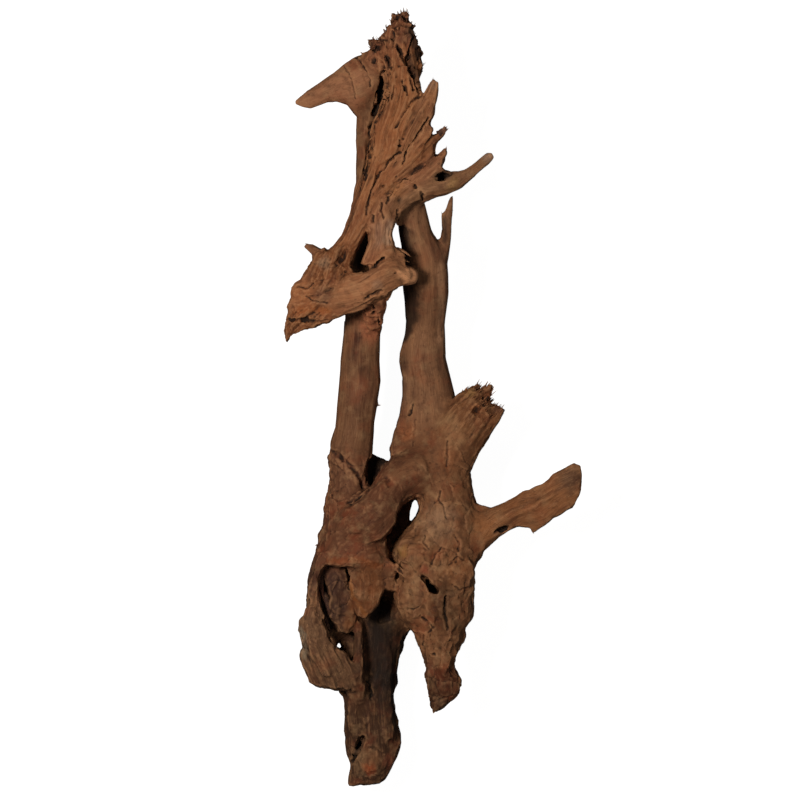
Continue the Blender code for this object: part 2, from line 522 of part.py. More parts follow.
# Furrows and cracks pressed into the surface: the path, its width and depth, and the lowest height it reaches
FURROWS = [
    ([(-50, 552), (-54, 538), (-50, 524)], 7, 7, 180),
    ([(-38, 548), (-42, 530), (-38, 514)], 7, 7, 180),
    ([(-64, 532), (-58, 518), (-62, 502)], 8, 8, 180),
    ([(-78, 518), (-72, 504), (-76, 490)], 8, 8, 180),
    ([(-92, 504), (-86, 494), (-88, 482)], 7, 7, 170),
    ([(-34, 518), (-30, 504), (-34, 492)], 7, 8, 180),
    ([(-24, 512), (-22, 496), (-24, 478)], 6, 6, 170),
    ([(-50, 512), (-44, 496)], 6, 6, 190),
    ([(-70, 494), (-62, 482), (-56, 468)], 7, 6, 190),
    ([(2, -112), (0, -142), (6, -172)], 7, 2, 120),
    ([(30, -206), (34, -236), (28, -262)], 8, 3, 120),
    ([(-12, -232), (-22, -246), (-40, -256)], 7, 5, 120),
    ([(48, -262), (44, -290), (48, -316)], 7, 5, 120),
    ([(4, -296), (6, -322), (10, -350), (8, -384)], 8, 6, 110),
    ([(34, -318), (28, -340), (20, -366)], 7, 5, 110),
    ([(-34, -272), (-28, -296), (-32, -318)], 7, 6, 110),
    ([(-20, -100), (-44, -120), (-66, -150)], 6, 2, 140),
    ([(-78, -160), (-100, -190), (-124, -206)], 8, 5, 140),
    ([(-152, -150), (-138, -160), (-128, -176)], 7, 4, 120),
    ([(-84, -250), (-88, -276), (-96, -300)], 7, 3, 140),
    ([(-106, -248), (-104, -270)], 6, 3, 140),
    ([(98, -176), (128, -160), (160, -138)], 7, 3, 130),
    ([(-184, -316), (-182, -348), (-176, -376)], 7, 3, 120),
    ([(-100, -448), (-96, -470), (-98, -488)], 8, 5, 70),
    ([(-70, -400), (-78, -440), (-74, -480)], 7, 4, 70),
    ([(-90, 394), (-93, 362), (-97, 330), (-106, 300), (-114, 286)], 12, 10, 150),
    ([(-14, 430), (-30, 402), (-44, 372), (-50, 350)], 8, 7, 200),
    ([(-4, 396), (-14, 372), (-26, 350), (-40, 334)], 7, 6, 200),
    ([(-72, 462), (-68, 440), (-74, 410), (-84, 384)], 6, 5, 190),
    ([(-52, 470), (-52, 440), (-58, 410), (-70, 380), (-76, 352)], 8, 6, 190),
    ([(-40, 468), (-40, 440), (-46, 420)], 7, 6, 190),
    ([(-6, 346), (-24, 330), (-46, 318), (-62, 302), (-74, 284)], 8, 6, 200),
    ([(0, 314), (-22, 308), (-42, 296), (-56, 280)], 8, 5, 200),
    ([(30, 306), (50, 316), (70, 334)], 5, 3, 200),
    ([(-150, 190), (-130, 200), (-122, 216)], 8, 4, 200),
    ([(-200, 140), (-170, 146), (-140, 160)], 8, 3, 200),
    ([(-110, 168), (-84, 176), (-58, 186)], 7, 4, 230),
    ([(-100, 146), (-72, 160), (-46, 168)], 6, 3, 230),
    ([(-50, 350), (-60, 342), (-75, 330), (-85, 297), (-96, 276)], 12, 7, 190),
    ([(-12, 390), (-22, 368), (-37, 341)], 8, 8, 190),
    ([(-20, 433), (-30, 416), (-41, 398), (-50, 378)], 9, 6, 190),
    ([(-45, 420), (-54, 394), (-60, 372)], 8, 5, 190),
    ([(-62, 458), (-57, 432), (-60, 405)], 8, 4, 190),
    ([(-67, 446), (-64, 430)], 6, 4, 190),
    ([(-36, 450), (-34, 436), (-42, 414)], 7, 4, 190),
    ([(-28, 449), (-26, 439)], 5, 5, 190),
    ([(-64, 492), (-60, 476)], 6, 5, 190),
    ([(-114, 487), (-107, 474)], 7, 6, 150),
    ([(-101, 469), (-92, 449)], 7, 6, 150),
    ([(-128, 476), (-122, 462), (-117, 446), (-112, 428)], 5, 3, 150),
    ([(-20, 298), (-15, 283)], 6, 5, 190),
    ([(-80, 296), (-66, 280), (-56, 262)], 7, 4, 200),
    ([(-48, 318), (-34, 308), (-22, 302)], 7, 4, 200),
    ([(-98, 180), (-85, 185), (-77, 194), (-69, 203)], 8, 9, 200),
    ([(-210, 113), (-195, 112), (-165, 108)], 6, 5, 200),
    ([(-165, 167), (-157, 163)], 7, 4, 200),
    ([(-160, 150), (-140, 160), (-118, 166)], 10, 3, 200),
    ([(-98, 147), (-84, 149)], 9, 7, 200),
    ([(-96, 132), (-88, 134)], 9, 6, 180),
    ([(-82, 122), (-76, 114)], 7, 5, 170),
    ([(-140, -80), (-126, -95), (-112, -110)], 8, 5, 120),
    ([(-128, -152), (-112, -146), (-98, -138), (-88, -128)], 9, 8, 130),
    ([(-146, -178), (-140, -196)], 9, 5, 120),
    ([(-142, -206), (-118, -206), (-96, -212), (-80, -212)], 10, 6, 120),
    ([(-144, -216), (-142, -226)], 8, 4, 120),
    ([(-60, -228), (-56, -240)], 8, 10, 120),
    ([(1, -222), (-4, -244), (6, -256)], 5, 3, 150),
    ([(-26, -196), (-24, -210), (-18, -216)], 5, 3, 150),
    ([(-40, -300), (-20, -300)], 5, 4, 150),
    ([(52, -205), (50, -222), (46, -240)], 7, 5, 120),
    ([(-12, -285), (-14, -312), (-6, -332), (-2, -360), (2, -372)], 8, 5, 120),
    ([(8, -400), (22, -408)], 6, 3, 120),
    ([(10, -434), (14, -440)], 8, 4, 110),
    ([(12, -278), (36, -280)], 7, 3, 150),
    ([(150, -160), (166, -150), (182, -142)], 9, 3, 140),
    ([(176, -168), (184, -152)], 6, 3, 140),
    ([(60, -14), (66, -26)], 9, 7, 120),
    ([(46, 6), (56, -6)], 6, 4, 120),
    ([(70, -8), (80, -5)], 7, 6, 120),
    ([(-165, -250), (-162, -280), (-160, -300), (-154, -328)], 9, 9, 100),
    ([(-134, -256), (-140, -278)], 8, 5, 90),
    ([(-90, -398), (-92, -416), (-88, -434)], 9, 7, 70),
    ([(-78, -375), (-78, -395)], 7, 4, 70),
    ([(-170, -320), (-172, -350), (-168, -385)], 10, 3, 130),
    ([(-150, -350), (-148, -375), (-144, -400)], 9, 3, 120),
    ([(-100, -507), (-86, -503), (-76, -512), (-70, -528)], 6, 4, 80),
    ([(-113, -546), (-95, -543), (-76, -536)], 6, 4, 70),
]

# Rough bark: centre in plan, radius, amplitude and grain size
ROUGH_ZONES = [
    (-55, 520, 60, 8.0, 9.0),
    (68, -8, 45, 4.5, 10.0),
    (-140, -300, 70, 4.5, 15.0),
    (-170, -360, 60, 3.0, 14.0),
    (0, -240, 110, 4.4, 15.0),
    (-130, -170, 90, 3.8, 17.0),
    (12, -370, 80, 4.0, 13.0),
    (165, -145, 70, 2.4, 15.0),
    (-85, 125, 45, 4.5, 11.0),
    (-85, -440, 120, 3.0, 17.0),
    (-60, 350, 110, 2.4, 13.0),
    (-160, 150, 70, 2.6, 13.0),
    (-145, -90, 40, 3.0, 12.0),
    (-56, 300, 34, 3.0, 12.0),
    (-120, -291, 34, 3.0, 12.0),
    (33, -233, 34, 3.0, 12.0),
]


def smooth_rows(rows, step):
    """Rows along a smooth curve through the given rows, about one every step millimetres.

    Between neighbours the curve is a cubic. Its slope at a row is the mean of the slopes on the two sides,
    each weighted by the other side's length, so an uneven spacing leaves no wiggle.
    """
    rows = np.asarray(rows, dtype=float)
    gaps = np.maximum(np.linalg.norm(np.diff(rows[:, :3], axis=0), axis=1), 1.0)[:, None]
    slopes = np.diff(rows, axis=0) / gaps
    inner = (slopes[:-1] * gaps[1:] + slopes[1:] * gaps[:-1]) / (gaps[:-1] + gaps[1:])
    tangents = np.vstack([slopes[:1], inner, slopes[-1:]])
    pieces = []
    for i, gap in enumerate(gaps[:, 0]):
        count = max(2, math.ceil(gap / step))
        t = np.linspace(0.0, 1.0, count, endpoint=False)[:, None]
        start = (1 + 2 * t) * (1 - t) ** 2 * rows[i] + t * (1 - t) ** 2 * gap * tangents[i]
        end = t * t * (3 - 2 * t) * rows[i + 1] - t * t * (1 - t) * gap * tangents[i + 1]
        pieces.append(start + end)
    pieces.append(rows[-1:])
    return np.vstack(pieces)


def new_object(name, mesh):
    """An object for the mesh, in the scene."""
    thing = bpy.data.objects.new(name, mesh)
    bpy.context.scene.collection.objects.link(thing)
    return thing


def lofted(name, rings):
    """A closed skin over rings of equal point counts, with a fan to a middle point at each end."""
    count, sides = rings.shape[:2]
    mesh = bmesh.new()
    points = [[mesh.verts.new(p) for p in ring] for ring in rings.tolist()]
    for lower, upper in zip(points[:-1], points[1:]):
        for i in range(sides):
            j = (i + 1) % sides
            mesh.faces.new((lower[i], lower[j], upper[j], upper[i]))
    for ring, middle in ((points[0], rings[0].mean(axis=0)), (points[-1], rings[-1].mean(axis=0))):
        tip = mesh.verts.new(middle.tolist())
        for i in range(sides):
            mesh.faces.new((ring[i], ring[(i + 1) % sides], tip))
    bmesh.ops.recalc_face_normals(mesh, faces=mesh.faces)
    data = bpy.data.meshes.new(name)
    mesh.to_mesh(data)
    mesh.free()
    return new_object(name, data)


def limb(name, rows):
    """A limb whose every cross section is an ellipse between its two outline points, as thick as its row says."""
    rows = smooth_rows([((a + c) / 2, (b + d) / 2, z, (c - a) / 2, (d - b) / 2, t / 2)
                        for a, b, c, d, z, t in rows], RING_SPACING)
    turn = np.linspace(0.0, 2 * math.pi, RING_SIDES, endpoint=False)
    across = np.pad(rows[:, 3:5], ((0, 0), (0, 1)))
    through = np.zeros_like(across)
    through[:, 2] = rows[:, 5]
    rings = (rows[:, None, :3] + np.cos(turn)[None, :, None] * across[:, None]
             + np.sin(turn)[None, :, None] * through[:, None])
    return lofted(name, rings)


def peg(name, rows):
    """A round limb along a path in space, with its own radius at each point: x, y, height and radius."""
    rows = smooth_rows(rows, RING_SPACING / 2)
    places = rows[:, :3]
    heading = np.gradient(places, axis=0)
    heading /= np.linalg.norm(heading, axis=1)[:, None]
    upright = np.mean(np.abs(heading[:, 2])) > 0.6
    guide = np.array([0.0, 1.0, 0.0]) if upright else np.array([0.0, 0.0, 1.0])
    side = np.cross(heading, guide)
    side /= np.linalg.norm(side, axis=1)[:, None]
    rise = np.cross(side, heading)
    turn = np.linspace(0.0, 2 * math.pi, RING_SIDES, endpoint=False)
    rings = places[:, None] + rows[:, None, 3:4] * (
        np.cos(turn)[None, :, None] * side[:, None] + np.sin(turn)[None, :, None] * rise[:, None])
    return lofted(name, rings)


def between_strands(names, count, draw):
    """Finer fibres between neighbouring strands, each a weighted mean of the two with a little sway."""
    fibres = []
    for first, second in zip(names[:-1], names[1:]):
        a, b = (smooth_rows(STRANDS[name], RING_SPACING) for name in (first, second))
        places = np.linspace(0.0, 1.0, FIBRE_POINTS)
        a, b = (np.array([np.interp(places, np.linspace(0.0, 1.0, len(path)), column)
                          for column in path.T]).T for path in (a, b))
        for i in range(count):
            share = (i + 1) / (count + 1) + draw.uniform(-0.1, 0.1)
            path = a + (b - a) * share
            path[:, 2] += draw.uniform(0.0, 3.0)
            path[:, 3] = draw.uniform(4.5, 7.0) * np.sin(math.pi * (0.12 + 0.76 * places))
            fibres.append(peg(f"{first}_fibre_{i + 1}", path))
    return fibres


def spike(name, root, tip, radius):
    """A short cone from a sunk root to a blunt tip."""
    middle = (root + tip) / 2
    return peg(name, [(*root, radius), (*middle, radius * 0.7), (*tip, radius * 0.3)])


def crown_bristles(count, draw):
    """Short broken fibres all round the spongy crown, leaning outwards and towards its top."""
    rows = smooth_rows([((a + c) / 2, (b + d) / 2, z, (c - a) / 2, (d - b) / 2, t / 2)
                        for a, b, c, d, z, t in LIMBS["upper_mass"][1:8]], 2.0)
    bristles = []
    for i in range(count):
        row = rows[draw.randrange(len(rows))]
        turn = draw.uniform(-0.35 * math.pi, 1.35 * math.pi)
        outward = np.array([math.cos(turn) * row[3], math.cos(turn) * row[4], math.sin(turn) * row[5]])
        lean = outward / np.linalg.norm(outward) + np.array([0.0, draw.uniform(0.3, 1.3), 0.0])
        root = row[:3] + outward * 0.8
        tip = row[:3] + outward + lean / np.linalg.norm(lean) * draw.uniform(4.0, 9.0)
        bristles.append(spike(f"crown_bristle_{i + 1}", root, tip, draw.uniform(3.5, 6.0)))
    return bristles


def torn_end(count, draw):
    """Splinters standing out of the torn end of the stub, along its grain."""
    a, b, c, d, z, t = LIMBS["torn_stub"][-1]
    middle = np.array([(a + c) / 2, (b + d) / 2, z])
    grain = np.array([0.72, 0.66, 0.1])
    splinters = []
    for i in range(count):
        turn = 2 * math.pi * (i + draw.uniform(-0.3, 0.3)) / count
        reach = draw.uniform(0.55, 0.95)
        offset = np.array([math.cos(turn) * (c - a) / 2, math.cos(turn) * (d - b) / 2, math.sin(turn) * t / 2])
        root = middle + offset * reach - grain * 8.0
        tip = middle + offset * reach * 1.1 + grain * draw.uniform(2.0, 11.0)
        splinters.append(spike(f"stub_splinter_{i + 1}", root, tip, draw.uniform(3.5, 6.0)))
    return splinters


def lump(name, x, y, z, half_x, half_y, half_z):
    """A rounded lump from a sphere."""
    mesh = bmesh.new()
    bmesh.ops.create_uvsphere(mesh, u_segments=24, v_segments=16, radius=1.0)
    bmesh.ops.scale(mesh, vec=(half_x, half_y, half_z), verts=mesh.verts)
    bmesh.ops.translate(mesh, vec=(x, y, z), verts=mesh.verts)
    data = bpy.data.meshes.new(name)
    mesh.to_mesh(data)
    mesh.free()
    return new_object(name, data)


def hole_cutter(name, outline, top, floor, narrowing):
    """A cutter with the hole's outline, narrowing towards its floor."""
    ring = np.array(outline, dtype=float)
    middle = ring.mean(axis=0)
    heights = np.linspace(0.0, 1.0, 5)
    rings = []
    for share in heights:
        scale = 1.0 - (1.0 - narrowing) * share
        level = np.full((len(ring), 1), top + (floor - top) * share)
        rings.append(np.hstack([middle + (ring - middle) * scale, level]))
    cutter = lofted(name, np.array(rings))
    cutter.hide_render = True
    cutter.display_type = "WIRE"
    return cutter


def take_evaluated(thing):
    """The object's mesh with its modifiers applied, which then stand removed."""
    evaluated = thing.evaluated_get(bpy.context.evaluated_depsgraph_get())
    data = bpy.data.meshes.new_from_object(evaluated)
    old = thing.data
    thing.modifiers.clear()
    thing.data = data
    bpy.data.meshes.remove(old)


def drop(things):
    """Removes objects with their meshes."""
    for thing in things:
        data = thing.data
        bpy.data.objects.remove(thing)
        bpy.data.meshes.remove(data)


def fused(name, things):
    """One closed skin round overlapping bodies."""
    joined = bmesh.new()
    for thing in things:
        joined.from_mesh(thing.data)
    data = bpy.data.meshes.new(name)
    joined.to_mesh(data)
    joined.free()
    drop(things)
    body = new_object(name, data)
    skin(body, FUSE_VOXEL)
    return body


def skin(body, voxel):
    """Gives the body one even closed skin. Hollows that are sealed inside are lost."""
    remesh = body.modifiers.new("skin", "REMESH")
    remesh.mode = "VOXEL"
    remesh.voxel_size = voxel
    take_evaluated(body)


def carve(body, cutters):
    """Cuts every hole at once."""
    group = bpy.data.collections.new("cutters")
    for cutter in cutters:
        group.objects.link(cutter)
    cut = body.modifiers.new("holes", "BOOLEAN")
    cut.operation = "DIFFERENCE"
    cut.operand_type = "COLLECTION"
    cut.collection = group
    cut.solver = "EXACT"
    take_evaluated(body)
    drop(cutters)
    bpy.data.collections.remove(group)


def points_of(body):
    """The mesh's points as rows of x, y and z."""
    points = np.empty(len(body.data.vertices) * 3, dtype=np.float32)
    body.data.vertices.foreach_get("co", points)
    return points.reshape(-1, 3).astype(float)


def normals_of(body):
    """The outward direction at each point."""
    normals = np.empty(len(body.data.vertices) * 3, dtype=np.float32)
    body.data.vertices.foreach_get("normal", normals)
    return normals.reshape(-1, 3).astype(float)


def move_points(body, points):
    """Puts the mesh's points in new places."""
    body.data.vertices.foreach_set("co", points.astype(np.float32).ravel())
    body.data.update()


def neighbour_mean(body, points):
    """The mean of each point's neighbours along the edges."""
    ends = np.empty(len(body.data.edges) * 2, dtype=np.int32)
    body.data.edges.foreach_get("vertices", ends)
    a, b = ends.reshape(-1, 2).T
    count = np.bincount(a, minlength=len(points)) + np.bincount(b, minlength=len(points))
    total = np.empty_like(points)
    for axis in range(points.shape[1]):
        total[:, axis] = (np.bincount(a, points[b, axis], len(points))
                          + np.bincount(b, points[a, axis], len(points)))
    return total / count[:, None]


def fill_creases(body, rounds):
    """Fillets the inner corners: a point moves to its neighbours' mean only where that lies outside the skin."""
    for _ in range(rounds):
        points = points_of(body)
        pull = neighbour_mean(body, points) - points
        outward = np.sum(pull * normals_of(body), axis=1)
        share = np.where(outward > 0.0, 1.0, 0.08)
        move_points(body, points + pull * share[:, None] * 0.8)


def distance_to_path(points, path):
    """The distance in plan from each point to a path, and how far along the path it is, from 0 to 1."""
    path = smooth_rows([(x, y, 0.0) for x, y in path], 4.0)[:, :2]
    best = np.full(len(points), np.inf)
    along = np.zeros(len(points))
    for i, (start, end) in enumerate(zip(path[:-1], path[1:])):
        run = end - start
        share = np.clip((points[:, :2] - start) @ run / (run @ run), 0.0, 1.0)
        distance = np.linalg.norm(points[:, :2] - (start + share[:, None] * run), axis=1)
        nearer = distance < best
        best[nearer] = distance[nearer]
        along[nearer] = (i + share[nearer]) / (len(path) - 1)
    return best, along


def cut_furrows(body):
    """Presses each furrow in, deepest at the middle of its path and of its width."""
    points = points_of(body)
    facing = np.clip(normals_of(body)[:, 2] * 1.6, 0.0, 1.0)
    for path, width, depth, lowest in FURROWS:
        low, high = np.min(path, axis=0) - width, np.max(path, axis=0) + width
        near = np.nonzero(np.all((points[:, :2] > low) & (points[:, :2] < high), axis=1)
                          & (points[:, 2] > lowest))[0]
        distance, along = distance_to_path(points[near], path)
        profile = np.clip(1.0 - distance / (0.5 * width), 0.0, 1.0)
        fade = np.clip(np.minimum(along, 1.0 - along) * 6.0 + 0.25, 0.0, 1.0)
        points[near, 2] -= depth * profile * fade * facing[near]
    move_points(body, points)


def roughened(body, zones):
    """Moves the skin in and out by fractal noise, as strongly as each zone says.

    A zone is a centre in plan, a radius, an amplitude and a grain size, all in millimetres.
    """
    points = points_of(body)
    shift = np.zeros(len(points))
    for (x, y, radius, amplitude, grain) in zones:
        reach = np.linalg.norm(points[:, :2] - np.array([x, y]), axis=1) / radius
        strength = amplitude * np.clip(2.0 - 2.0 * reach, 0.0, 1.0)
        for i in np.nonzero(strength)[0].tolist():
            place = Vector(points[i].tolist()) / grain
            shift[i] += strength[i] * noise.fractal(place, 1.0, 2.0, 2)
    move_points(body, points + normals_of(body) * shift[:, None])


def thinned(body, triangles):
    """Keeps the form with fewer triangles."""
    body.data.calc_loop_triangles()
    thin = body.modifiers.new("thin", "DECIMATE")
    thin.decimate_type = "COLLAPSE"
    thin.use_collapse_triangulate = True
    thin.ratio = triangles / len(body.data.loop_triangles)
    take_evaluated(body)


def worn_flat(body):
    """Cuts everything below the surface off and closes the three cuts with flat faces."""
    mesh = bmesh.new()
    mesh.from_mesh(body.data)
    geometry = mesh.verts[:] + mesh.edges[:] + mesh.faces[:]
    cut = bmesh.ops.bisect_plane(mesh, geom=geometry, dist=0.0001, plane_co=(0, 0, 0), plane_no=(0, 0, -1),
                                 clear_outer=True)
    rim = [edge for edge in cut["geom_cut"] if isinstance(edge, bmesh.types.BMEdge)]
    bmesh.ops.contextual_create(mesh, geom=rim)
    bmesh.ops.triangulate(mesh, faces=mesh.faces)
    bmesh.ops.recalc_face_normals(mesh, faces=mesh.faces)
    mesh.to_mesh(body.data)
    mesh.free()


def largest_piece(body):
    """Drops loose scraps, keeping the biggest connected piece."""
    mesh = bmesh.new()
    mesh.from_mesh(body.data)
    left = set(mesh.verts)
    pieces = []
    while left:
        start = left.pop()
        piece = {start}
        edge_of_piece = [start]
        while edge_of_piece:
            vertex = edge_of_piece.pop()
            for edge in vertex.link_edges:
                other = edge.other_vert(vertex)
                if other in left:
                    left.discard(other)
                    piece.add(other)
                    edge_of_piece.append(other)
        pieces.append(piece)
    pieces.sort(key=len)
    for piece in pieces[:-1]:
        bmesh.ops.delete(mesh, geom=list(piece), context="VERTS")
    mesh.to_mesh(body.data)
    mesh.free()


def wood_material():
    """Plain brown weathered wood."""
    material = bpy.data.materials.new("weathered_driftwood")
    material.use_nodes = True
    shader = material.node_tree.nodes["Principled BSDF"]
    shader.inputs["Base Color"].default_value = WOOD_COLOUR
    shader.inputs["Roughness"].default_value = WOOD_ROUGHNESS
    shader.inputs["Metallic"].default_value = 0.0
    return material


for old in list(bpy.data.objects):
    bpy.data.objects.remove(old)

core = [limb(name, rows) for name, rows in LIMBS.items()]
core += [peg(name, rows) for table in (REST_STUBS, BACK_RIDGES) for name, rows in table.items()]
core += [lump(name, *size) for name, size in LUMPS.items()]
wood = fused("driftwood", core)
fill_creases(wood, CORE_CREASE_ROUNDS)

draw = random.Random(DRAW_SEED)
relief = [peg(name, rows) for table in (STRANDS, SPIKES) for name, rows in table.items()]
relief += between_strands(MASS_STRANDS, FIBRES_PER_GAP, draw)
relief += crown_bristles(CROWN_BRISTLES, draw)
relief += torn_end(STUB_SPLINTERS, draw)
wood = fused("driftwood", [wood] + relief)
fill_creases(wood, RELIEF_CREASE_ROUNDS)
thinned(wood, CARVING_TRIANGLES)
carve(wood, [hole_cutter(name, *hole) for name, hole in HOLES.items()])
skin(wood, FUSE_VOXEL)
fill_creases(wood, 1)
move_points(wood, points_of(wood) + normals_of(wood) * SKIN_GROWTH)
cut_furrows(wood)
roughened(wood, ROUGH_ZONES)
largest_piece(wood)
thinned(wood, WOOD_TRIANGLES)
worn_flat(wood)

# Centred over the origin and brought to the stated length and height
low, high = points_of(wood).min(axis=0), points_of(wood).max(axis=0)
middle = (low + high) / 2
to_size = Matrix.Diagonal((1.0, LENGTH / (high[1] - low[1]), HEIGHT / high[2], 1.0))
wood.data.transform(Matrix.Scale(METRES, 4) @ to_size @ Matrix.Translation((-middle[0], -middle[1], 0.0)))
wood.data.materials.clear()
wood.data.materials.append(wood_material())
wood.data.shade_smooth()
group = bpy.data.collections.new("malaysian_driftwood")
bpy.context.scene.collection.children.link(group)
group.objects.link(wood)
bpy.context.scene.collection.objects.unlink(wood)
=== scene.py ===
import bmesh
import bpy
import numpy as np
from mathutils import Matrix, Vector, kdtree


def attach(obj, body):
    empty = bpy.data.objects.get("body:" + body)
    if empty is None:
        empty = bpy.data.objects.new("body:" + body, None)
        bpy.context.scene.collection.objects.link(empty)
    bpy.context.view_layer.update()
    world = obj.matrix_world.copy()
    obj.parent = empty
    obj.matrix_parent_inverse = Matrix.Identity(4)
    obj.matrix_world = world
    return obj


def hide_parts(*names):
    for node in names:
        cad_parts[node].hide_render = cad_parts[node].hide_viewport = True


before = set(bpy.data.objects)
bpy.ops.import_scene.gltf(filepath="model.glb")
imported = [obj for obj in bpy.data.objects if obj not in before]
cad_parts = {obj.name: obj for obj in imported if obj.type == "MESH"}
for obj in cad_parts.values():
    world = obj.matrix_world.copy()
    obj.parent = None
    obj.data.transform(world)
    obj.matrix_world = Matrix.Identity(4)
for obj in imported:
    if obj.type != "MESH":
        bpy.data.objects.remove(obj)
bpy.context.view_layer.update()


# The run of the grain
# Wood fibres run along each limb from root to tip. A growth line is drawn through the heart of every limb,
# and each point of the skin is placed by how far along its limb it lies and how far it stands off the heart.

